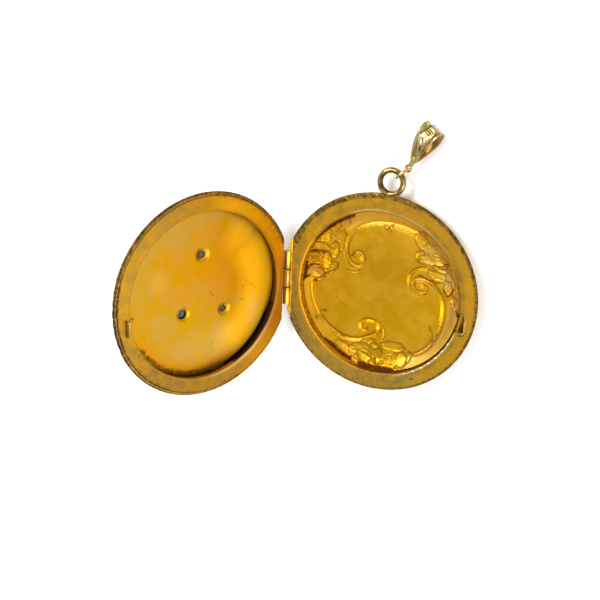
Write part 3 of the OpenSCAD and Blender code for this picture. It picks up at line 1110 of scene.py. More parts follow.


# Marks of the relief floor: the bright marks are painted highlights on petals, roses and bands, and painted
# light on the border; the shade marks are painted shade in the creases and along the foot of the wall, with a
# broad darkening of the middle and upper floor; the tarnish and stain marks along the foot of the wall at the
# bottom and lower left are painted shadow under the lip together with real stain.
RELIEF_PAN_MARKS = Marks(
    tarnish_and_shadow=(Blot(-12.6, 4.5, 0.45, 0.3, 60, 0.9), Arc(266, 296, 12.7, 13.7, 0.5),
             Blot(12.7, 3.0, 0.25, 0.4, 20, 0.7), Blot(-7.9, -11.0, 0.6, 0.3, -35, 0.9)),
    stain_and_shadow=(Blot(-5.1, 11.9, 0.9, 0.35, 40, 1.2), Blot(-7.3, 10.9, 1.9, 0.4, 30, 1.0),
           Blot(-10.3, 8.2, 1.9, 0.3, 48, 0.95), Blot(-12.6, 4.6, 0.8, 0.4, 60, 1.3),
           Blot(-12.8, 3.0, 1.0, 0.35, 85, 1.2), Blot(-10.8, 5.0, 1.9, 0.4, 5, 0.8),
           Blot(-11.2, 2.65, 1.2, 0.16, 5, 0.9), Blot(-12.3, 0.6, 0.6, 0.25, 20, 0.8),
           Blot(-7.4, -10.8, 1.5, 0.7, -35, 1.4), Blot(-11.2, 1.5, 1.6, 1.1, 0, 0.45),
           Blot(-10.4, 4.9, 2.2, 1.5, 40, 0.4),
           Stroke(((-12.9, 3.6), (-12.3, 5.4), (-11.3, 7.1), (-9.9, 8.7), (-8.2, 10.1), (-6.3, 11.3),
                   (-5.0, 12.0)), 0.55, 1.2),
           Stroke(((-12.9, 0.2), (-12.4, 1.8), (-12.6, 3.2)), 0.4, 1.1),
           Stroke(((-8.6, -9.9), (-6.6, -11.3), (-4.2, -12.3)), 0.5, 1.3),
           Stroke(((-2.2, -12.6), (0.5, -12.75), (3.4, -12.6)), 0.35, 1.1),
           Blot(-10.9, 0.0, 0.4, 0.3, 0, 0.7), Arc(165, 250, 12.7, 13.7, 0.75, 8, 0.15),
           Arc(140, 160, 9.6, 10.0, 0.5, 5, 0.15), Blot(-4.2, -12.4, 2.2, 0.3, -18, 0.9),
           Blot(0.2, -11.8, 0.3, 0.8, 15, 0.9), Blot(3.4, -12.75, 1.9, 0.3, 8, 0.9),
           Blot(13.0, -1.3, 0.7, 0.25, -60, 1.1), Blot(12.2, 0.3, 0.35, 0.9, 10, 0.6),
           Blot(10.6, 6.3, 0.8, 0.15, 10, 0.8), Blot(-10.3, -6.0, 0.25, 0.8, 30, 0.6),
           Blot(-6.0, -8.6, 1.8, 0.12, -18, 0.8)),
    warm=(Blot(12.0, 0.7, 0.7, 1.2, 10, 0.8), Blot(-11.0, 3.0, 2.2, 3.0, 0, 0.7),
          Blot(-6.0, 11.0, 3.0, 0.8, 35, 0.6), Arc(235, 300, 12.3, 13.0, 0.3),
          Arc(165, 215, 12.5, 13.0, 0.4, 10, 0.2), Blot(4.0, 11.5, 2.5, 0.6, -20, 0.5)),
    bright=(Arc(178, 205, 11.1, 11.6, 0.7), Arc(70, 112, 10.8, 12.6, 0.5, 14, 0.5),
            Arc(-50, -8, 11.8, 13.0, 0.1, 12, 0.4), Arc(78, 138, 12.0, 12.9, 0.28, 12, 0.3),
            Blot(-9.2, 3.7, 0.4, 0.9, 0, 0.7), Blot(-9.0, 7.3, 0.35, 0.8, 0, 0.8),
            Blot(-7.7, 5.6, 0.35, 0.7, 0, 0.9), Blot(-3.3, 4.9, 0.25, 0.45, 0, 0.9),
            Blot(4.7, 2.8, 0.25, 0.7, 0, 1.0), Blot(0.25, -6.0, 0.3, 0.6, 0, 0.9),
            Blot(-2.75, -6.4, 0.2, 0.45, 0, 0.9), Blot(4.5, -10.6, 0.5, 0.7, 0, 0.9),
            Blot(0.2, -11.9, 0.3, 0.9, 0, 0.7), Blot(5.7, 6.7, 0.3, 0.5, 0, 0.6),
            Blot(11.6, 0.6, 0.2, 0.5, 10, 0.7), Blot(6.9, 2.1, 0.3, 0.3, 0, 0.7),
            Blot(10.35, -1.5, 0.3, 1.7, 0, 0.8), Blot(-4.3, -10.7, 0.6, 0.2, -30, 0.7),
            Blot(-12.4, 1.2, 0.3, 0.3, 0, 0.6), Blot(2.3, -9.6, 0.9, 0.2, 25, 0.6)),
    shade=(Arc(162, 258, 11.7, 13.2, 0.28, 12, 0.4), Arc(-75, -5, 12.2, 13.2, 0.14, 12, 0.4),
           Blot(0.5, 4.5, 7.0, 6.5, 0, 0.28),
           Stroke(((-9.5, 1.35), (-8.6, 1.8), (-7.6, 2.35), (-7.25, 2.9), (-7.2, 3.5)), 0.1, 0.85),
           Stroke(((-11.1, 0.1), (-10.5, 0.3), (-9.9, 0.9), (-9.5, 1.35)), 0.08, 0.8),
           Stroke(((-4.95, 5.1), (-4.4, 5.65)), 0.14, 0.7),
           Stroke(((-6.2, 6.8), (-6.1, 5.8), (-5.6, 5.2)), 0.06, 0.5),
           Stroke(((5.1, 9.3), (5.5, 8.3), (6.0, 8.0), (6.6, 7.7)), 0.07, 0.7),
           Stroke(((5.7, 6.2), (6.0, 5.75), (6.8, 5.6), (8.0, 5.6), (8.7, 5.85)), 0.08, 0.7),
           Stroke(((8.9, 5.5), (9.5, 5.2), (10.2, 5.3), (10.5, 5.9), (11.0, 6.1)), 0.09, 0.8),
           Stroke(((6.1, 3.7), (6.6, 3.8), (7.2, 3.4), (8.0, 3.1), (8.5, 3.3), (9.0, 3.0), (9.6, 3.2)),
                   0.11, 0.9),
           Stroke(((7.9, 2.75), (8.6, 2.35), (9.2, 1.85), (9.7, 1.2)), 0.08, 0.7),
           Stroke(((10.2, 2.1), (10.6, 1.5), (11.0, 1.05), (11.5, 1.8), (11.8, 2.5)), 0.12, 0.9),
           Stroke(((12.6, -0.7), (13.0, -1.5), (13.4, -2.1)), 0.14, 0.8),
           Stroke(((-9.9, -5.8), (-8.0, -7.45), (-6.5, -8.2), (-5.2, -8.6), (-4.0, -8.75)), 0.09, 0.65),
           Stroke(((-4.4, -10.0), (-3.8, -9.55)), 0.06, 0.6),
           Stroke(((3.9, -8.85), (4.5, -8.65), (5.3, -8.75)), 0.07, 0.7),
           Stroke(((-0.6, -9.2), (-0.1, -8.95), (0.3, -9.2)), 0.06, 0.5),
           Stroke(((1.1, -9.4), (1.5, -9.9)), 0.07, 0.5),
           Stroke(((6.2, -9.6), (8.0, -8.75), (9.0, -7.6), (9.9, -6.0)), 0.06, 0.4),
           Stroke(((-8.6, -10.6), (-7.0, -11.9), (-5.0, -12.9), (-2.0, -13.3), (1.0, -13.4)), 0.45, 0.85),
           Stroke(((-12.9, -3.5), (-12.0, -6.0), (-10.5, -8.4), (-8.6, -10.4)), 0.12, 0.45),
           Stroke(((8.7, 7.3), (9.1, 7.6)), 0.06, 0.4),
           Stroke(((7.6, 8.2), (8.2, 8.6), (9.1, 8.5)), 0.06, 0.4),
           Stroke(((7.2, 7.2), (8.4, 6.85), (9.6, 6.9)), 0.05, 0.4)),
    wear_and_highlight=(Arc(-60, 0, 11.6, 13.0, 0.12, 15, 0.5), Arc(70, 112, 10.8, 12.6, 0.08, 14, 0.5),
          Blot(8.2, 7.6, 1.9, 1.7, 30, 0.08), Blot(10.8, 3.8, 1.9, 1.2, -60, 0.1),
          Blot(-11.0, 1.5, 1.4, 0.7, 0, 0.06)))


@dataclass
class ReliefPan:
    """The stamped relief leaf: floor with three sprays, flank, rim and the border on its back."""

    floor: float = -1.8
    sheet: float = 0.4
    relief: float = 0.36
    floor_r: float = 13.05
    plain_r: float = 3.6
    bowl_r: float = 11.2
    bowl_rise: float = 0.78
    crease_shade_strength: float = 0.62
    inner_step: float = 0.11
    outer_step: float = 0.3
    steps: int = 600
    chord: float = 14.5
    line_height: float = 0.2
    texture: float = 0.07
    flank_in: float = 13.2
    flank_out: float = 15.3
    flank_foot: float = 0.42
    near: float = 0.01
    forms: tuple[Form, ...] = LEFT_SPRAY + RIGHT_SPRAY + LOW_SPRAY
    marks: Marks = RELIEF_PAN_MARKS

    def relief_at(self, points: Points) -> tuple[Points, Points]:
        """Lays the forms over each other.

        Args:
            points: Points of the floor.

        Returns:
            The relief's depth in millimetres, and the painted shade along its crease lines, at each point.
        """
        depth, crease_shade = np.zeros(len(points)), np.zeros(len(points))
        for form in self.forms:
            cover, level, line = form.parts_at(points)
            depth = np.maximum(depth * (1 - cover) + level * cover - self.line_height * line, 0)
            # Each form's outline is painted as shade along its crease, unless a later form covers it
            crease_shade = np.maximum(crease_shade * (1 - cover), line)
        x, y = points.T
        depth *= 1 + self.texture * np.sin(7.3 * x + 2.1 * y) * np.sin(6.1 * y - 3.7 * x)
        inside = unit((self.floor_r - np.hypot(x, y)) / 0.3)
        return self.relief * unit(depth) * inside, crease_shade * inside

    def profile(self) -> list[Point]:
        """Draws the shell's section, from the middle of the floor over the edge to the middle of the back.

        Returns:
            The closed profile.
        """
        middle = [0.0, 1.8, self.plain_r]
        inner = [*middle, *np.arange(self.plain_r + 0.3, self.floor_r, self.inner_step), self.floor_r]
        outer = [*middle, *np.arange(self.plain_r + 0.4, self.floor_r, self.outer_step), self.floor_r]
        back = self.floor - self.sheet
        edge = [(13.5, self.floor - 0.3), (13.8, self.floor - 0.35), (14.1, -1.95), (15.1, -0.69),
                (15.2, -0.67), (15.45, -0.67), (15.53, -0.72), (14.4, -2.42), (14.3, -2.58), (14.15, -2.65),
                (13.55, -2.65), (13.42, -2.6), (13.25, -2.3)]
        return [(r, self.floor) for r in inner] + edge + [(r, back) for r in reversed(outer)]

    def build(self) -> bpy.types.Object:
        """Builds the shell.

        Returns:
            The piece, in its leaf's frame and painted.
        """
        piece = spin_profile("relief_pan", self.profile(), self.steps)
        points = coordinates(piece)
        radius = np.hypot(points[:, 0], points[:, 1])
        crease_shade = np.zeros(len(points))
        for level, rise in ((self.floor, self.bowl_rise), (self.floor - self.sheet, 0.0)):
            on_floor = (np.abs(points[:, 2] - level) < self.near) & (radius <= self.floor_r + self.near)
            bowl = soft_step((radius[on_floor] - self.bowl_r) / (self.floor_r - self.bowl_r + 0.3))
            depth, crease_shade[on_floor] = self.relief_at(points[on_floor, :2])
            points[on_floor, 2] += rise * bowl - depth
        flank = (radius > self.flank_in) & (radius < self.flank_out)
        inside = flank & (points[:, 2] > self.floor - self.flank_foot)
        limit = np.where(inside, self.chord - self.sheet, self.chord)
        points[:, 0] = np.maximum(points[:, 0], -limit)
        set_coordinates(piece, points)
        # The crease lines take painted shade, on the inner face only
        self.marks.paint(piece, inner_only=True, crease_shade=self.crease_shade_strength * crease_shade)
        return piece


@dataclass
class Rim:
    """The flat land of a leaf with its rounded outer edge and the collar that stands on the floor."""

    name: str
    chord: float
    opening_r: float = 13.1
    opening_shift: float = 0.3
    land: float = 0.65
    collar: float = 0.35
    collar_foot: float = -1.78
    cove: float = 0.0
    outer_r: float = 16.0
    steps: int = 480
    seam: float = 0.0
    shape: Callable[[Points], Points] = lambda points: points
    groove: tuple[Point, ...] = ((-0.09, 0.0), (-0.03, -0.06), (0.03, -0.06), (0.09, 0.0))
    level_r: float = 15.4

    def profile(self) -> list[Point]:
        """Draws the rim's section, from the collar's foot over lip, land and outer edge to its underside.

        Returns:
            The closed profile.
        """
        inner = self.opening_r
        low = self.collar_foot if self.collar else -self.land
        heights = np.linspace(low, -0.12, 10 if self.collar else 5)
        lip = [(inner - self.cove * (z / low) ** 2, z) for z in heights]
        lip += [(inner + 0.02, -0.05), (inner + 0.07, -0.012), (inner + 0.14, 0.0)]
        across = [(r, 0.0) for r in np.arange(inner + 0.35, 15.3, 0.2)]
        if self.seam:
            across = [(r, z) for r, z in across if abs(r - self.seam) > 0.15]
            across += [(self.seam + r, z) for r, z in self.groove]
        edge_r = self.land / 2
        angles = [math.radians(angle) for angle in range(90, -91, -15)]
        edge = [(self.outer_r - edge_r + edge_r * math.cos(angle), -edge_r + edge_r * math.sin(angle))
                for angle in angles]
        under = [(14.4, -self.land)]
        if self.collar:
            under += [(inner + self.collar, -self.land), (inner + self.collar, self.collar_foot)]
        return lip + across + edge + under

    def build(self) -> bpy.types.Object:
        """Builds the rim.

        Returns:
            The piece, in its leaf's frame.
        """
        piece = spin_profile(self.name, self.profile(), self.steps)
        points = coordinates(piece)
        radius = np.hypot(points[:, 0], points[:, 1])
        reach = self.level_r - self.opening_r - max(self.collar, 0.2)
        points[:, 0] += self.opening_shift * unit((self.level_r - radius) / reach)
        set_coordinates(piece, self.shape(points))
        cut_flat(piece, -self.chord)
        return piece


# Outline of the catch notch, with its torn outer side
NOTCH = (
    (11.5, -3.55), (13.7, -3.6), (14.28, -3.55), (14.36, -3.3), (14.24, -3.0), (14.27, -2.6), (14.2, -2.2),
    (14.24, -1.8), (14.33, -1.4), (14.22, -1.0), (14.08, -0.72), (13.4, -0.7), (11.5, -0.75))
# Depth of the slight waves of a land
WAVES = 0.012
# Torn stretch of the relief leaf's lip: first and last angle in degrees, and depth
TORN_START, TORN_END, TORN_DEPTH = -72, -19, 0.1
# Crumbled stretch of the gem leaf's outer edge: first and last angle in degrees, and depth as a share
CRUMBLED_START, CRUMBLED_END, CRUMBLED_DEPTH = -24, 18, 0.004


def relief_rim_shape(points: Points) -> Points:
    """Gives the relief rim its torn lip and slight waves.

    Args:
        points: The plain rim's points.

    Returns:
        The points moved.
    """
    shaped = points.copy()
    x, y, z = points.T
    radius = np.hypot(x, y)
    angle = np.degrees(np.arctan2(y, x))
    at_lip = unit((13.9 - radius) / 0.4) * unit((z + 0.4) / 0.3)
    torn = unit((angle - TORN_START) / 6) * unit((TORN_END - angle) / 5)
    ragged = 0.5 * np.sin(angle * 0.9) + 0.3 * np.sin(angle * 1.9 + 1) + 0.2 * np.sin(angle * 3.3)
    shaped[:, 0] -= TORN_DEPTH * torn * ragged * at_lip * np.cos(np.radians(angle))
    shaped[:, 1] -= TORN_DEPTH * torn * ragged * at_lip * np.sin(np.radians(angle))
    top = (z > -0.1).astype(float)
    shaped[:, 2] += TORN_DEPTH / 2 * torn * ragged * at_lip * top
    shaped[:, 2] -= WAVES * top * (1 + np.sin(angle / 13) * np.cos(radius * 2))
    return shaped


def gem_rim_shape(points: Points) -> Points:
    """Gives the gem rim slight waves and the crumbled stretch of its outer edge.

    Args:
        points: The plain rim's points.

    Returns:
        The points moved.
    """
    shaped = points.copy()
    x, y, z = points.T
    radius = np.hypot(x, y)
    angle = np.degrees(np.arctan2(y, x))
    top = (z > -0.1).astype(float)
    shaped[:, 2] -= WAVES * top * (1 + np.sin(angle / 11 + 1) * np.cos(radius * 1.7))
    crumbled = unit((angle - CRUMBLED_START) / 5) * unit((CRUMBLED_END - angle) / 5)
    crumbled = crumbled * unit((radius - 15.2) / 0.2)
    ragged = 0.5 * np.sin(angle * 7.3) + 0.5 * np.sin(angle * 13.1 + z * 6)
    shaped[:, :2] *= (1 - CRUMBLED_DEPTH * crumbled * (1 + ragged))[:, None]
    return shaped


# Marks of the relief rim: the bright marks are painted light on the collar wall, which lies in the lip's
# shade, and on the upper left land; the worn marks along the lip's top edge, the torn stretch and the notch's
# outer side are painted highlights; the shade marks are painted shade inside the torn lip, on the upper land
# and in the catch notch.
RELIEF_RIM_MARKS = Marks(
    tarnish_and_shadow=(Arc(112, 152, 15.2, 16.2, 0.75), Arc(146, 160, 14.9, 16.2, 0.7), Arc(70, 112, 15.3, 16.2, 0.7),
             Arc(198, 215, 14.6, 16.2, 0.65), Blot(-14.4, -7.0, 0.7, 0.5, 60, 0.9),
             Arc(215, 290, 15.5, 16.2, 0.6), Arc(-70, 70, 15.55, 16.3, 0.75), Arc(262, 290, 14.2, 15.2, 0.5),
             Blot(7.0, -12.7, 0.5, 0.25, 10, 0.9), Blot(9.0, -11.0, 0.6, 0.15, 35, 0.6),
             Blot(11.5, -9.3, 0.6, 0.15, 45, 0.6), Blot(13.8, -3.7, 0.5, 0.3, 60, 0.9),
             Blot(12.7, -7.3, 0.3, 0.15, 60, 0.6), Blot(-10.5, -11.2, 1.8, 0.5, -45, 0.5),
             Arc(205, 262, 13.6, 15.5, 0.35)),
    stain_and_shadow=(Arc(262, 300, 12.9, 13.4, 0.5), Arc(140, 240, 12.55, 12.86, 0.5, 8, 0.05)),
    warm=(Arc(-60, 60, 14.3, 15.6, 0.6), Arc(60, 110, 13.5, 15.0, 0.3), Arc(140, 262, 12.5, 13.35, 0.5)),
    bright=(Arc(120, 152, 13.6, 14.9, 0.08, 10, 0.3), Arc(150, 262, 12.5, 12.98, 0.6, 8, 0.04)),
    shade=(Arc(-72, -22, 12.9, 13.28, 0.5, 5, 0.1), Arc(25, 120, 13.5, 15.6, 0.27, 15, 0.4),
           Stroke(((14.6, -3.2), (14.4, -3.9), (13.6, -4.1)), 0.12, 0.8),
           Stroke(((13.2, -0.45), (14.2, -0.45), (14.6, -1.2)), 0.09, 0.7)),
    wear_and_highlight=(Arc(165, 300, 13.3, 15.4, 0.04, 12, 0.3), Arc(2, 106, 13.28, 13.42, 0.35, 8, 0.08),
          Arc(-70, -20, 13.36, 13.5, 0.75, 5, 0.08),
          Stroke(((14.3, -0.7), (14.4, -1.4), (14.36, -2.6), (14.4, -3.6), (13.8, -3.75)), 0.08, 0.4)))
# Marks of the gem rim: the shade marks paint the lip's inner face black as the shadow under it, darken the
# hinge-side edge beside the knuckles and the land at the bottom, and paint shade along the seam groove and
# the outer edge; the bright marks are painted light on the land towards the hinge and towards the catch; the
# worn marks are painted highlights along the lip and the seam.
GEM_RIM_MARKS = Marks(
    tarnish_and_shadow=(Arc(95, 165, 15.55, 16.3, 0.7), Arc(-30, 95, 15.65, 16.3, 0.65), Arc(195, 330, 15.6, 16.3, 0.5),
             Blot(11.8, -6.8, 0.8, 1.3, -30, 0.45), Blot(-4.0, -14.8, 2.2, 0.5, -12, 0.5),
             Arc(-18, 14, 15.35, 16.3, 0.6, 8, 0.15), Blot(13.2, -0.9, 0.5, 0.4, 0, 0.5),
             Arc(-60, -25, 15.2, 15.7, 0.5), Arc(100, 150, 14.8, 15.6, 0.35)),
    stain_and_shadow=(Arc(-18, 16, 15.2, 16.2, 0.6, 8, 0.2), Arc(140, 165, 14.2, 15.6, 0.3)),
    warm=(Arc(95, 235, 13.2, 16.0, 0.8, 25), Arc(120, 262, 12.6, 13.2, 0.8)),
    bright=(Arc(105, 160, 13.6, 15.0, 0.4, 15, 0.4), Arc(-12, 50, 13.6, 15.2, 0.12, 12, 0.4)),
    shade=(Arc(-75, 170, 15.38, 15.5, 0.6, 10, 0.05), Arc(245, 315, 13.6, 15.4, 0.22, 15, 0.4),
           Stroke(((-14.34, -4.3), (-14.34, -1.3)), 0.09), Stroke(((-14.34, 1.9), (-14.34, 4.9)), 0.09),
           Arc(196, 262, 12.4, 12.98, 1.0, 18, 0.03), Arc(138, 205, 12.4, 12.9, 0.9, 14, 0.03),
           Arc(60, 140, 12.9, 13.1, 0.5, 10, 0.04), Arc(-90, 262, 15.8, 15.96, 0.5, 14, 0.05)),
    wear_and_highlight=(Arc(176, 262, 13.3, 13.5, 0.35, 10, 0.1), Arc(-75, 170, 15.58, 15.66, 0.1, 10, 0.05)))
# Marks of the gem pan: the shade arcs are the painted shadow under the lip, a black crescent along the hinge
# side and the bottom; the shade and stain blots round the holes are painted shade in the dimples; the bright
# marks are painted light and reflection on the hinge side of the floor.
GEM_PAN_MARKS = Marks(
    tarnish_and_shadow=(Blot(-1.6, -0.4, 0.7, 0.25, 50, 0.55), Blot(-7.4, -2.4, 0.3, 0.2, 0, 0.7),
             Blot(-7.5, -0.3, 0.35, 0.12, 0, 0.6), Blot(-1.8, -8.7, 0.25, 0.15, 0, 0.5),
             Blot(7.8, 3.8, 0.2, 0.12, 0, 0.5)),
    stain_and_shadow=(Blot(0.3, 6.2, 0.95, 0.9, 0, 0.8), Blot(-3.8, -3.3, 0.8, 0.8, 0, 0.8),
           Blot(3.6, -2.8, 0.75, 0.75, 0, 0.6), Arc(265, 325, 12.7, 13.7, 0.65, 15, 0.7)),
    warm=(Blot(-4.0, 3.5, 6.0, 5.5, 0, 0.7), Blot(3.5, 1.5, 3.0, 3.0, 0, 0.5),
          Arc(262, 330, 11.9, 13.6, 0.7, 20, 1.2), Blot(5.0, 6.5, 2.5, 1.5, 30, 0.4),
          Blot(8.0, -8.0, 3.0, 1.2, 40, 0.3), Blot(7.0, 4.0, 1.0, 5.0, 10, 0.35),
          Arc(225, 262, 10.5, 13.2, 0.5, 15, 1.0)),
    bright=(Arc(150, 235, 9.0, 13.7, 0.8, 25, 3.0), Blot(-7.5, 8.5, 3.5, 2.5, -45, 0.55),
            Blot(7.6, 3.0, 1.2, 1.6, 0, 0.14)),
    shade=(Arc(160, 210, 13.52, 15.6, 1.0, 14, 0.05), Arc(206, 252, 13.2, 15.6, 1.0, 14, 0.12),
           Arc(250, 300, 13.45, 15.6, 0.9, 12, 0.25), Arc(125, 165, 13.5, 15.6, 1.0, 12, 0.06),
           Blot(0.4, 6.1, 0.42, 0.42, 0, 0.3), Blot(-3.6, -3.3, 0.4, 0.4, 0, 0.3),
           Blot(3.5, -2.7, 0.62, 0.7, 0, 0.8), Arc(300, 330, 13.7, 14.5, 0.4, 14, 0.3)),
    wear_and_highlight=(Blot(-1.5, -8.6, 5.0, 2.6, 0, 0.06), Blot(-9.5, -4.8, 1.3, 2.4, 0, 0.1)))


@dataclass
class GemPan:
    """The leaf that carries the stones: a plain pan with three pierced dimples and their seats.

    Each stone has its place (x, y), the radius of its hole and the radius of the dimple round it.
    """

    floor: float = -1.8
    sheet: float = 0.4
    steps: int = 360
    chord: float = 14.2
    stones: tuple[tuple[float, float, float, float], ...] = (
        (0.0, 6.1, 0.5, 1.25), (3.6, -2.8, 0.74, 1.15), (-3.9, -3.3, 0.47, 1.1))
    boss_r: float = 1.5
    boss_h: float = 0.5
    seat_r: float = 0.98
    stone_r: float = 0.95
    pavilion: float = 0.75
    girdle: float = -2.6
    dimple: float = 0.3
    ring: float = 0.03
    crease: float = 0.02
    crease_x: float = 4.75
    crease_y: float = 9.1
    lip_r: float = 15.15
    chord_slope: float = 0.03
    sliver: float = 0.004
    near: float = 0.01
    marks: Marks = GEM_PAN_MARKS

    def _dimples(self, points: Points) -> Points:
        """Shapes the dimples round the holes, and a soft crease near the upper edge.

        Args:
            points: Points of the inner face.

        Returns:
            How far each point sinks.
        """
        sink = np.zeros(len(points))
        for x, y, _, dimple_r in self.stones:
            distance = np.hypot(points[:, 0] - x, points[:, 1] - y) / dimple_r
            sink = np.maximum(sink, self.dimple * unit(1 - distance ** 2) ** 0.8)
            sink -= self.ring * np.exp(-((distance - 1.2) / 0.15) ** 2)
        across = np.exp(-((points[:, 0] - self.crease_x) / 0.12) ** 2)
        return sink + self.crease * (across * unit(1.4 - np.abs(points[:, 1] - self.crease_y) / 1.6))

    def _seat_cutter(self, x: float, y: float, hole_r: float) -> bpy.types.Object:
        """Builds the room of one stone, from the open back to the hole in the floor.

        Args:
            x: The stone's place from the hinge outwards.
            y: The stone's place along the hinge.
            hole_r: Radius of the hole.

        Returns:
            The cutter.
        """
        rise = self.pavilion * (self.seat_r - hole_r) / self.stone_r
        profile = [(0, -4.0), (self.seat_r, -4.0), (self.seat_r, self.girdle), (hole_r, self.girdle + rise),
                   (hole_r, -1.0), (0, -1.0)]
        cutter = spin_profile("seat_cutter", profile, 48)
        cutter.data.transform(Matrix.Translation((x, y, 0)))
        return cutter

    def build(self) -> bpy.types.Object:
        """Builds the pan.

        Returns:
            The piece, in its leaf's frame and painted.
        """
        inner = [0.0, *np.arange(0.6, 13.7, 0.2), 13.9]
        outer = [0.0, *np.arange(0.8, 13.7, 0.6), 14.15]
        back = self.floor - self.sheet
        edge = [(14.1, -1.68), (15.1, -0.69), (15.2, -0.67), (15.45, -0.67), (15.53, -0.72), (14.4, -2.03),
                (14.3, -2.14)]
        profile = [(r, self.floor) for r in inner] + edge + [(r, back) for r in reversed(outer)]
        piece = spin_profile("gem_pan", profile, self.steps)
        points = coordinates(piece)
        radius = np.hypot(points[:, 0], points[:, 1])
        inside = (points[:, 2] > self.floor - self.near) & (radius < self.lip_r)
        floor = inside & (points[:, 2] < self.floor + self.near)
        points[floor, 2] -= self._dimples(points[floor])
        limit = np.where(inside, self.chord - self.sheet, self.chord)
        limit += self.chord_slope * (radius - self.chord)
        points[:, 0] = np.maximum(points[:, 0], -limit)
        set_coordinates(piece, points)
        bosses = join("bosses", [self._boss(x, y) for x, y, _, _ in self.stones])
        apply_modifier(piece, "BOOLEAN", operation="UNION", object=bosses, solver="EXACT")
        bpy.data.objects.remove(bosses)
        cut_away(piece, join("seats", [self._seat_cutter(x, y, hole_r) for x, y, hole_r, _ in self.stones]))
        drop_slivers(piece, self.sliver)
        self.marks.paint(piece, inner_only=True)
        return piece

    def _boss(self, x: float, y: float) -> bpy.types.Object:
        """Builds the raised seat of one stone on the back.

        Args:
            x: The stone's place from the hinge outwards.
            y: The stone's place along the hinge.

        Returns:
            The boss.
        """
        low, high = self.floor - self.sheet - self.boss_h, self.floor - self.sheet / 2
        profile = [(0, low), (self.boss_r - 0.2, low), (self.boss_r - 0.12, low + 0.06),
                   (self.boss_r, high), (0, high)]
        boss = spin_profile("boss", profile, 64)
        boss.data.transform(Matrix.Translation((x, y, 0)))
        return boss


@dataclass
class Hinge:
    """Three knuckles on one pin, the strip that carries two of them and the tab of the third."""

    barrel: float = 9.0
    gap: float = 0.08
    knuckle_r: float = 0.63
    bore_r: float = 0.27
    land: float = 0.65
    strip_half: float = 6.8
    strip_taper: float = 0.18

    @property
    def knuckle_l(self) -> float:
        """Length of one knuckle."""
        return (self.barrel - 2 * self.gap) / 3

    def knuckle(self, place: int) -> bpy.types.Object:
        """Builds one knuckle.

        Args:
            place: Its place along the barrel: -1, 0 or 1.

        Returns:
            The knuckle.
        """
        half, chamfer = self.knuckle_l / 2, 0.05
        profile = [(self.bore_r, -half), (self.knuckle_r - chamfer, -half), (self.knuckle_r, -half + chamfer),
                   (self.knuckle_r, 0.0), (self.knuckle_r, half - chamfer), (self.knuckle_r - chamfer, half),
                   (self.bore_r, half)]
        piece = spin_profile("knuckle", profile, 56)
        along = place * (self.knuckle_l + self.gap)
        piece.data.transform(Matrix.Translation((-HINGE_ARM, HINGE_Y + along, AXIS_UP))
                             @ Matrix.Rotation(math.radians(-90), 4, "X"))
        return piece

    def strip(self) -> bpy.types.Object:
        """Builds the strip along the relief leaf, narrower towards the barrel.

        Returns:
            The strip.
        """
        piece = box_piece("strip", (-14.98, HINGE_Y - self.strip_half, -self.land),
                          (-14.3, HINGE_Y + self.strip_half, 0.0), 0.05)
        points = coordinates(piece)
        outer = unit((-14.4 - points[:, 0]) / 0.58)
        points[:, 1] = HINGE_Y + (points[:, 1] - HINGE_Y) * (1 - self.strip_taper * outer)
        set_coordinates(piece, points)
        return piece

    def tab(self) -> bpy.types.Object:
        """Returns the tab that joins the middle knuckle to the gem leaf."""
        half = self.knuckle_l / 2
        return box_piece("tab", (-HINGE_ARM + 0.3, HINGE_Y - half, -self.land + 0.03),
                         (-13.9, HINGE_Y + half, -0.03), 0.03)


# Middle of the hanging loop in the relief leaf's frame
LOOP_AT = (1.2, 17.8, -0.325)


def loop_arc(radius: float, first: float, last: float) -> tuple[Point, ...]:
    """Returns points along an arc round the middle of the hanging loop, its angles in degrees."""
    angles = np.radians(np.linspace(first, last, 9))
    return tuple((LOOP_AT[0] + radius * math.cos(angle), LOOP_AT[1] + radius * math.sin(angle))
                 for angle in angles)


# The shade strokes are painted shade on the inner side of the wire and low on its outer side, and the worn
# strokes painted highlights on its outer left and inner right.
LOOP_MARKS = Marks(
    tarnish_and_shadow=(Blot(1.2, 16.0, 1.2, 0.35, 0, 0.5),),
    shade=(Stroke(loop_arc(1.5, 110, 255), 0.2, 0.75), Stroke(loop_arc(1.62, -70, 30), 0.12, 0.4),
           Stroke(loop_arc(2.2, 200, 280), 0.12, 0.5)),
    wear_and_highlight=(Stroke(loop_arc(2.0, 140, 235), 0.1, 0.5), Stroke(loop_arc(1.4, -60, 20), 0.1, 0.45)))
# Hinge marks: the bright marks are painted highlights along the strip and the knuckles, and the shade strokes
# painted shade in the gaps between and beside the knuckles and along the barrel's far side.
BARREL_MARKS = Marks(
    tarnish_and_shadow=(Blot(-14.6, 7.0, 0.6, 0.5, 0, 0.5), Blot(-14.6, -6.6, 0.6, 0.5, 0, 0.5)),
    stain_and_shadow=(Blot(-14.4, -3.2, 0.15, 0.4, 0, 0.7), Blot(-14.4, -5.5, 0.2, 0.8, 0, 0.5)),
    warm=(Blot(-14.5, 0.3, 0.2, 4.5, 0, 0.6),),
    bright=(Stroke(((-14.72, -6.6), (-14.72, 7.2)), 0.17),),
    shade=(Stroke(((-15.8, 1.84), (-14.4, 1.84)), 0.07), Stroke(((-15.8, -1.24), (-14.4, -1.24)), 0.07),
           Stroke(((-15.78, -4.2), (-15.78, 4.8)), 0.1, 0.9)))
STRIP_MARKS = Marks(
    tarnish_and_shadow=(Blot(-14.6, 7.1, 0.6, 0.3, 0, 0.5), Blot(-14.6, -6.5, 0.6, 0.3, 0, 0.5)),
    bright=(Blot(-14.6, 0.3, 6.0, 30.0, 0, 1.0),),
    shade=(Stroke(((-14.98, -1.2), (-14.98, 1.8)), 0.13),))
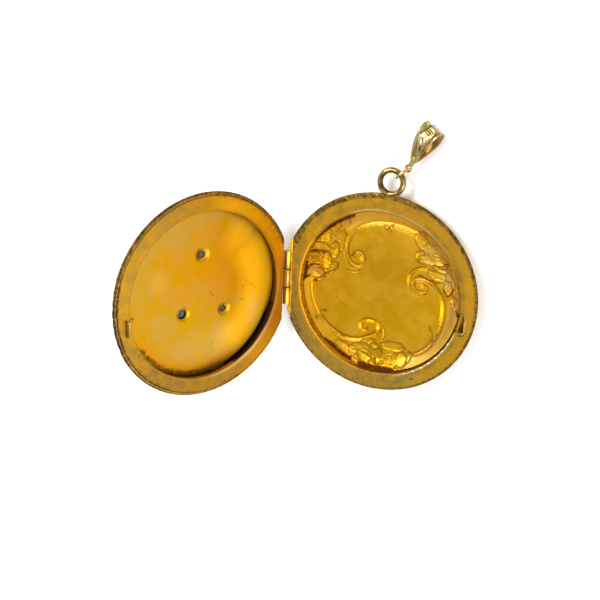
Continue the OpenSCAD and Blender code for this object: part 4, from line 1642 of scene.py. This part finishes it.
GEM_HINGE_MARKS = Marks(
    bright=(Stroke(((-15.42, -1.2), (-15.42, 1.8)), 0.17, 0.8),),
    shade=(Stroke(((-15.8, 1.76), (-14.4, 1.76)), 0.03), Stroke(((-15.8, -1.16), (-14.4, -1.16)), 0.03)))
# The shade marks of the bail's front are painted shade in its grooves, windows and the gaps between its
# lobes, and the worn marks painted glints on the crown and the right rim.
BAIL_FRONT_MARKS = Marks(
    stain_and_shadow=(Stroke(((-1.15, 5.9), (-1.25, 5.0), (-0.95, 3.6)), 0.12, 0.3),),
    shade=(Stroke(((-0.3, 5.0), (0.3, 3.5)), 0.2, 0.85),
           Stroke(((1.3, 5.9), (0.95, 3.7), (0.8, 3.0)), 0.16, 0.85),
           Stroke(((-1.0, 5.1), (-0.66, 4.15), (-0.26, 3.3)), 0.1, 0.75),
           Stroke(((0.62, 5.0), (0.55, 4.1), (0.5, 3.2)), 0.1, 0.75),
           Stroke(((-0.5, 6.05), (0.3, 5.9)), 0.11, 0.75), Stroke(((-0.35, 6.38), (0.5, 6.2)), 0.1, 0.75),
           Stroke(((-0.2, 6.68), (0.7, 6.5)), 0.1, 0.7),
           Stroke(((-0.62, 7.1), (-0.5, 6.7), (-0.75, 6.0), (-0.9, 5.5)), 0.17, 0.9),
           Stroke(((1.2, 7.1), (1.15, 6.7), (1.0, 6.0)), 0.15, 0.9),
           Stroke(((-1.5, 6.3), (-1.42, 5.5), (-1.2, 4.6)), 0.13, 0.7), Blot(0.0, 2.9, 0.25, 0.2, 0, 0.5)),
    wear_and_highlight=(Blot(-0.42, 5.35, 0.25, 0.16, -40, 0.8), Stroke(((1.45, 6.4), (1.1, 4.0), (0.8, 2.4)), 0.08, 0.4)))
# The warm and shade marks tint and darken the back strap as painted shade on its inner face.
BAIL_BACK_MARKS = Marks(
    warm=(Blot(0.6, 3.4, 1.6, 2.6, 0, 0.8),),
    shade=(Blot(1.1, 5.0, 0.35, 0.9, -10, 0.6), Blot(0.3, 3.5, 0.5, 1.2, 0, 0.35)))
# Painted shade on the neck next to the eyelet.
NECK_MARKS = Marks(shade=(Blot(0.1, 0.75, 0.2, 0.12, 0, 0.5),))
EYELET_MARKS = Marks(warm=(Blot(0, 0, 1, 1, 0, 0.6),))


@dataclass
class Bail:
    """The pierced bail, modelled in its own frame: +Y from its eyelet to its top and +Z out of its front.

    Its place and its turns round X, Y and Z, in degrees, are those of the solid in the relief leaf's frame.
    """

    at: tuple[float, float, float] = (3.387, 19.987, -0.975)
    turns: tuple[float, float, float] = (1.5, -18.0, -29.5)
    neck: float = 0.9
    length: float = 6.9
    half_width: float = 1.65
    neck_width: float = 0.16
    bulge: float = 1.3
    sheet: float = 0.22
    columns: int = 56
    front_rows: int = 110
    back_rows: int = 60
    top: float = 185
    neck_section: tuple[Point, ...] = (
        (0, 0.38), (0.24, 0.42), (0.36, 0.5), (0.42, 0.7), (0.44, 1.0), (0.54, 1.4), (0.6, 2.0), (0.4, 2.9),
        (0, 2.95))
    eyelet_r: float = 0.46
    eyelet_wire: float = 0.18
    windows: tuple[Blot, ...] = (
        Blot(-0.03, 4.3, 0.75, 0.16, -55), Blot(1.1, 4.75, 1.1, 0.12, 83), Blot(-0.66, 4.15, 0.85, 0.07, -66),
        Blot(0.56, 4.1, 0.8, 0.09, 84))
    ribs: tuple[Stroke, ...] = (
        Stroke(((-0.85, 5.3), (-0.42, 4.2), (0.0, 3.4), (0.25, 2.6)), 0.12),
        Stroke(((0.05, 5.3), (0.25, 4.6), (0.38, 3.7), (0.4, 2.8)), 0.12),
        Stroke(((1.0, 5.7), (0.88, 4.6), (0.72, 3.2), (0.55, 2.3)), 0.14))
    front_marks: Marks = BAIL_FRONT_MARKS
    back_marks: Marks = BAIL_BACK_MARKS

    def _band(self, angle: Points, across: Points, front: bool) -> Points:
        """Shapes the band.

        Args:
            angle: Way along the band from neck to neck, in degrees.
            across: Place across the band, from -1 to 1.
            front: True for the sculpted front.

        Returns:
            The points, a row for each.
        """
        turn, half = np.radians(angle), np.sin(np.radians(angle / 2))
        reach = (self.length - self.neck) / 2
        width = self.neck_width + (self.half_width - self.neck_width) * half ** 1.25
        x, y = across * width, self.neck + reach * (1 - np.cos(turn))
        z = self.bulge * np.sin(turn) * half ** 1.3
        slope_y = reach * np.sin(turn)
        growth = 0.65 * np.sin(turn) * half ** 0.3 * np.cos(turn / 2)
        slope_z = self.bulge * (np.cos(turn) * half ** 1.3 + growth)
        size = np.hypot(slope_y, slope_z)
        lift = 0.2 * across ** 2 * half ** 2 + 0.09 * np.exp(-((np.abs(across) - 0.9) / 0.12) ** 2) * half
        lift = lift - 0.22 * np.exp(-((np.abs(across) - 0.66) / 0.1) ** 2 - ((angle - 178) / 35) ** 2)
        if front:
            flat = np.stack([x, y], 1)
            for rib in self.ribs:
                lift = lift + 0.12 * unit(rib.laid_on(flat))
            crown = unit(1 - (across / 0.62) ** 2) * soft_step((angle - 122) / 20)
            lift = lift + crown * (0.06 + 0.05 * np.cos(math.tau * (angle - 137) / 10))
        return np.stack([x, y - slope_z / size * lift, z + slope_y / size * lift], 1)

    def _strap(self, name: str, first: float, last: float, front: bool) -> bpy.types.Object:
        """Builds one half of the band.

        Args:
            name: The new object's name.
            first: Angle where it starts.
            last: Angle where it ends.
            front: True for the sculpted front with its windows.

        Returns:
            The strap, painted.
        """
        deselect_all()
        rows = self.front_rows if front else self.back_rows
        bpy.ops.mesh.primitive_grid_add(x_subdivisions=self.columns, y_subdivisions=rows, size=2)
        piece = named(name)
        flat = coordinates(piece)
        points = self._band(first + (last - first) * (flat[:, 1] + 1) / 2, flat[:, 0], front)
        set_coordinates(piece, points)
        if front:
            inside = marks_on(points, self.windows) > 0.5
            with editing(piece):
                bpy.ops.mesh.select_mode(type="VERT")
                bpy.ops.mesh.select_all(action="DESELECT")
            piece.data.vertices.foreach_set("select", inside)
            bpy.ops.object.mode_set(mode="EDIT")
            bpy.ops.mesh.delete(type="VERT")
            bpy.ops.object.mode_set(mode="OBJECT")
        apply_modifier(piece, "SOLIDIFY", thickness=self.sheet, offset=0.0, use_even_offset=True)
        (self.front_marks if front else self.back_marks).paint(piece)
        return piece

    def build(self, place: Matrix) -> bpy.types.Object:
        """Builds the bail.

        Args:
            place: The relief leaf's matrix.

        Returns:
            The piece, in the object's frame.
        """
        neck = spin_profile("neck", self.neck_section, 40)
        neck.data.transform(Matrix.Diagonal((1, 1, 0.8, 1)) @ Matrix.Rotation(math.radians(-90), 4, "X"))
        deselect_all()
        bpy.ops.mesh.primitive_torus_add(major_radius=self.eyelet_r, minor_radius=self.eyelet_wire,
                                         major_segments=48, minor_segments=20)
        eyelet = named("eyelet")
        NECK_MARKS.paint(neck)
        EYELET_MARKS.paint(eyelet)
        straps = [self._strap("front", 24, self.top, True), self._strap("back", self.top, 336, False)]
        bail = join("pierced_bail", [*straps, neck, eyelet])
        turns = [Matrix.Rotation(math.radians(angle), 4, axis) for angle, axis in zip(self.turns, "XYZ")]
        bail.data.transform(place @ Matrix.Translation(self.at) @ turns[2] @ turns[0] @ turns[1])
        return bail


# Finishes of the pieces
RELIEF_GOLD = GoldFinish(
    "relief_gold", base=srgb(188, 140, 14), pale=srgb(202, 154, 34), warm=srgb(204, 134, 12),
    roughness=0.43, grain=0.4, hairlines=0.4,
    scratches=(Scratch(-6.2, -2.9, -35, 1.35), Scratch(-1.4, 3.9, -75, 0.9, 0.07, 0.35),
               Scratch(-9.1, -4.9, -5, 0.5, 0.12, 0.8), Scratch(2.5, 6.4, 20, 1.4, 0.05, 0.2)))
LAND_GOLD = GoldFinish(
    "land_gold", base=srgb(178, 134, 24), pale=srgb(146, 114, 44), warm=srgb(196, 146, 34),
    roughness=0.42, grain=0.35, waves=1.0, blotch_scale=1.6, cloud_scale=2.2, highlight_dull=0.6)
GEM_LAND_GOLD = GoldFinish(
    "gem_land_gold", base=srgb(182, 134, 30), pale=srgb(154, 118, 52), warm=srgb(192, 128, 12),
    tarnish_and_shadow=srgb(58, 42, 14), roughness=0.4, grain=0.3, blotch_scale=1.6, cloud_scale=2.2)
PAN_GOLD = GoldFinish(
    "pan_gold", base=srgb(198, 146, 10), pale=srgb(190, 148, 62), warm=srgb(208, 138, 2),
    roughness=0.4, grain=0.4, hairlines=0.4, highlight_dull=0.75,
    scratches=(Scratch(-8.6, 0.2, 38, 1.8, 0.06, 0.5), Scratch(-9.4, -0.5, 28, 0.7, 0.05, 0.4)))
HINGE_GOLD = GoldFinish(
    "hinge_gold", base=srgb(164, 108, 42), pale=srgb(176, 122, 56), warm=srgb(220, 146, 30),
    bright=srgb(255, 210, 60), roughness=0.24, grain=0.15, highlight_dull=0.5)
GEM_HINGE_GOLD = GoldFinish(
    "gem_hinge_gold", base=srgb(186, 138, 62), pale=srgb(196, 148, 70), warm=srgb(214, 150, 40),
    bright=srgb(240, 170, 50), roughness=0.28, grain=0.15)
LOOP_GOLD = GoldFinish(
    "loop_gold", base=srgb(116, 88, 38), pale=srgb(172, 144, 86), warm=srgb(180, 130, 50),
    roughness=0.17, grain=0.2, cloud_scale=3.5)
BAIL_GOLD = GoldFinish(
    "bail_gold", base=srgb(170, 150, 90), pale=srgb(188, 174, 122), warm=srgb(166, 116, 40),
    shade=srgb(70, 52, 18), wear_and_highlight=srgb(240, 232, 200), roughness=0.26, grain=0.1, cloud_scale=3.0)
PIN_GOLD = GoldFinish(
    "pin_gold", base=srgb(196, 168, 108), pale=srgb(214, 194, 142), warm=srgb(226, 172, 70),
    roughness=0.22, grain=0.1, painted=False)


@dataclass
class Half:
    """A leaf with all that is fixed to it: a point of the hinge axis, the shared node groups and its body."""

    hinge: Vector
    effects: Effects
    body: Body = Body.RELIEF
    joints: Hinge = field(default_factory=Hinge)

    @property
    def place(self) -> Matrix:
        """Matrix from the leaf's frame to the object's."""
        return leaf_matrix(self.body, self.hinge)

    def put(self, piece: bpy.types.Object, finish: GoldFinish, slot: Slot, replaced: str = "") -> None:
        """Moves a painted piece from the leaf's frame to its place and dresses it.

        Args:
            piece: The piece, in the leaf's frame.
            finish: Its finish.
            slot: The record's slot for its finish; not used.
            replaced: The solid that it stands for, if any.
        """
        piece.data.transform(self.place)
        if self.body is Body.GEM:
            mirror_normals(piece)
        dress(piece, finish.build(self.effects), self.body, replaced)


@dataclass
class ReliefHalf(Half):
    """The relief leaf with its loop and the bail."""

    pan: ReliefPan = field(default_factory=ReliefPan)
    loop_r: float = 1.8
    loop_wire: float = 0.45
    foot_half: float = 1.3
    solder_voxel: float = 0.06
    solder_passes: int = 4

    def build(self) -> list[bpy.types.Object]:
        """Builds, dresses and places the pieces of the relief leaf.

        Returns:
            The pieces.
        """
        pan = self.pan.build()
        self.put(pan, RELIEF_GOLD, Slot.RELIEF, "relief_shell")
        rim = Rim("relief_rim", 14.5, collar_foot=-1.2, cove=0.05, shape=relief_rim_shape).build()
        cut_away(rim, prism("notch_cutter", NOTCH, -1.1, 0.5))
        RELIEF_RIM_MARKS.paint(rim)
        self.put(rim, LAND_GOLD, Slot.LAND, "relief_frame")
        strip = self.joints.strip()
        barrel = join("barrel", [self.joints.knuckle(-1), self.joints.knuckle(1)])
        STRIP_MARKS.paint(strip)
        BARREL_MARKS.paint(barrel)
        barrel = join("relief_hinge", [barrel, strip])
        self.put(barrel, HINGE_GOLD, Slot.LAND)
        loop = self._loop()
        LOOP_MARKS.paint(loop)
        self.put(loop, LOOP_GOLD, Slot.LAND)
        bail = Bail().build(self.place)
        dress(bail, BAIL_GOLD.build(self.effects), self.body, "bail")
        return [pan, rim, barrel, loop, bail]

    def _loop(self) -> bpy.types.Object:
        """Builds the wire loop with the solder that fills its foot.

        Returns:
            The loop, in the relief leaf's frame.
        """
        deselect_all()
        bpy.ops.mesh.primitive_torus_add(major_radius=self.loop_r, minor_radius=self.loop_wire,
                                         major_segments=96, minor_segments=32, location=(0, 0, 0))
        torus = named("loop_wire")
        torus.data.transform(Matrix.Translation(LOOP_AT))
        foot = box_piece("loop_foot", (LOOP_AT[0] - self.foot_half, 15.1, -0.6),
                         (LOOP_AT[0] + self.foot_half, 16.3, -0.05), 0.1)
        loop = join("hanging_loop", [torus, foot])
        melt_together(loop, self.solder_voxel, self.solder_passes)
        return loop


# The shade stroke is painted shade in the slot beside the tongue.
CATCH_MARKS = Marks(
    warm=(Blot(13.7, -2.1, 0.4, 1.0, 0, 0.4),),
    shade=(Stroke(((14.1, -3.4), (14.1, -0.9)), 0.05, 0.7),),
    wear_and_highlight=(Blot(13.7, -0.95, 0.25, 0.1, 0, 0.6),))


@dataclass
class GemHalf(Half):
    """The stone-set leaf with its catch tongue."""

    body: Body = Body.GEM
    pan: GemPan = field(default_factory=GemPan)
    tongue_low: tuple[float, float, float] = (13.5, -3.4, -0.3)
    tongue_high: tuple[float, float, float] = (14.05, -0.9, 0.78)
    slot_low: tuple[float, float, float] = (13.98, -3.45, -1.0)
    slot_high: tuple[float, float, float] = (14.16, -0.75, 0.5)
    crumbs: tuple[tuple[float, float, float], ...] = (
        (13.15, -0.75, 0.16), (12.95, -0.95, 0.13), (13.3, -0.95, 0.12),
        (12.85, -0.7, 0.1), (13.0, -1.25, 0.1), (13.4, -0.65, 0.11))

    def build(self) -> list[bpy.types.Object]:
        """Builds, dresses and places the pieces of the gem leaf.

        Returns:
            The pieces.
        """
        pan = self.pan.build()
        self.put(pan, PAN_GOLD, Slot.PAN, "gem_shell")
        rim = Rim("gem_rim", 14.3, collar=0.0, seam=15.45, shape=gem_rim_shape).build()
        cut_away(rim, box_piece("slot_cutter", self.slot_low, self.slot_high, 0.06))
        GEM_RIM_MARKS.paint(rim)
        self.put(rim, GEM_LAND_GOLD, Slot.LAND, "gem_frame")
        barrel = join("gem_hinge", [self.joints.tab(), self.joints.knuckle(0)])
        GEM_HINGE_MARKS.paint(barrel)
        self.put(barrel, GEM_HINGE_GOLD, Slot.LAND)
        catch = self._catch()
        CATCH_MARKS.paint(catch)
        self.put(catch, GEM_LAND_GOLD, Slot.LAND)
        return [pan, rim, barrel, catch]

    def _catch(self) -> bpy.types.Object:
        """Builds the catch tongue with crumbs of solder beside it.

        Returns:
            The tongue, in the gem leaf's frame.
        """
        parts = [box_piece("tongue", self.tongue_low, self.tongue_high, 0.18, 4)]
        for x, y, radius in self.crumbs:
            deselect_all()
            bpy.ops.mesh.primitive_ico_sphere_add(radius=radius, subdivisions=3, location=(0, 0, 0))
            crumb = named("crumb")
            crumb.data.transform(Matrix.Translation((x, y, -0.09)) @ Matrix.Diagonal((1.2, 0.9, 1, 1)))
            parts.append(crumb)
        return join("catch_tongue", parts)


def mirror_normals(piece: bpy.types.Object) -> None:
    """Turns the faces of a mirrored piece outwards again."""
    with editing(piece):
        bpy.ops.mesh.normals_make_consistent(inside=False)


def dress(piece: bpy.types.Object, material: bpy.types.Material, body: Body,
          replaced: str = "") -> None:
    """Smooths a piece, gives it its material, and hangs it on its body.

    Args:
        piece: The piece, in the object's frame.
        material: Its finish.
        body: The half that it moves with.
        replaced: The solid that it stands for, if any.
    """
    activate(piece)
    bpy.ops.object.shade_smooth_by_angle(angle=math.radians(SMOOTH_ANGLE))
    piece.data.materials.clear()
    piece.data.materials.append(material)
    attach(piece, body.value)
    if replaced:
        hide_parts(replaced)
    LOG.info("%s: %d faces on %s", piece.name, len(piece.data.polygons), body.value)


@dataclass
class Studio:
    """Floor, soft lights and the camera, which is given in millimetres and degrees."""

    eye: tuple[float, float, float] = (44.144, 35.751, 114.599)
    aim: tuple[float, float, float] = (-5.926, -8.749, 2.65)
    roll: float = 125.02
    lens: float = 48.11
    sensor: float = 36.0
    zenith: float = 0.85
    horizon: float = 0.5
    floor_size: float = 3.0
    floor_drop: float = 0.00002

    def build(self) -> None:
        """Builds the stage."""
        bpy.context.scene.view_settings.view_transform = "Standard"
        self._floor()
        self._world()
        self._light("key", (-70, 80, 160), 90, 0.34, (1.0, 0.98, 0.95))
        self._light("fill", (130, -60, 120), 120, 0.2, (0.95, 0.97, 1.0))
        self._camera()

    def _floor(self) -> None:
        """Makes the plain pale floor."""
        deselect_all()
        bpy.ops.mesh.primitive_plane_add(size=self.floor_size, location=(0, 0, 0))
        floor = named("studio_floor")
        floor.data.transform(Matrix.Translation((0, 0, -self.floor_drop)))
        floor.data.materials.append(StudioFinish().build())

    def _world(self) -> None:
        """Makes the white surroundings, brighter overhead than at the horizon."""
        world = bpy.data.worlds.new("studio")
        world.use_nodes = True
        bench = NodeBench(world.node_tree)
        background = world.node_tree.nodes["Background"]
        direction = bench.add("ShaderNodeTexCoord").outputs["Generated"]
        height = bench.add("ShaderNodeSeparateXYZ", Vector=direction).outputs[2]
        bench.feed(background.inputs["Strength"], bench.ramp(height, -0.1, 0.75, self.horizon, self.zenith))
        background.inputs["Color"].default_value = (1, 1, 1, 1)
        bpy.context.scene.world = world

    def _light(self, name: str, at: Sequence[float], size: float, power: float,
               colour: Sequence[float]) -> None:
        """Adds a soft square light that faces the object.

        Args:
            name: The light's name.
            at: Its place in millimetres.
            size: Side of the square in millimetres.
            power: Power in watts.
            colour: Its colour.
        """
        deselect_all()
        bpy.ops.object.light_add(type="AREA", location=Vector(at) * MM)
        light = bpy.context.active_object
        light.name = name
        light.data.size = size * MM
        light.data.energy = power
        light.data.color = colour
        light.rotation_euler = (-light.location).to_track_quat("-Z", "Y").to_euler()

    def _camera(self) -> None:
        """Places the camera at the photograph's viewing angle."""
        deselect_all()
        eye, aim = Vector(self.eye) * MM, Vector(self.aim) * MM
        bpy.ops.object.camera_add(location=eye)
        camera = bpy.context.active_object
        camera.data.lens = self.lens
        camera.data.sensor_width = self.sensor
        camera.data.clip_start = 0.001
        view = (aim - eye).normalized()
        level = view.to_track_quat("-Z", "Y").to_matrix()
        camera.rotation_euler = (Matrix.Rotation(math.radians(self.roll), 3, view) @ level).to_euler()
        bpy.context.scene.camera = camera


def dress_solids(nodes: dict[str, bpy.types.Object], effects: Effects) -> None:
    """Gives the solids that stay in view their finishes.

    Args:
        nodes: The frame's solids by name.
        effects: The node groups that the finishes share.
    """
    stone = StoneFinish().build()
    metal = PIN_GOLD.build(effects)
    for name, material in (("stone_1", stone), ("stone_2", stone), ("stone_3", stone), ("hinge_pin", metal),
                           ("jump_ring", metal)):
        node = nodes[name]
        node.data.materials.clear()
        node.data.materials.append(material)


def main() -> None:
    """Builds the locket's finish round the frame."""
    logging.basicConfig(level=logging.INFO, format="%(message)s")
    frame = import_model()
    effects = Effects()
    hinge = Vector(frame["joints"][0]["pos_m"])
    for half in (ReliefHalf(hinge, effects), GemHalf(hinge, effects)):
        pieces = half.build()
        LOG.info("%s: %d pieces", type(half).__name__, len(pieces))
    dress_solids(frame["nodes"], effects)
    Studio().build()


if __name__ == "__main__":
    main()
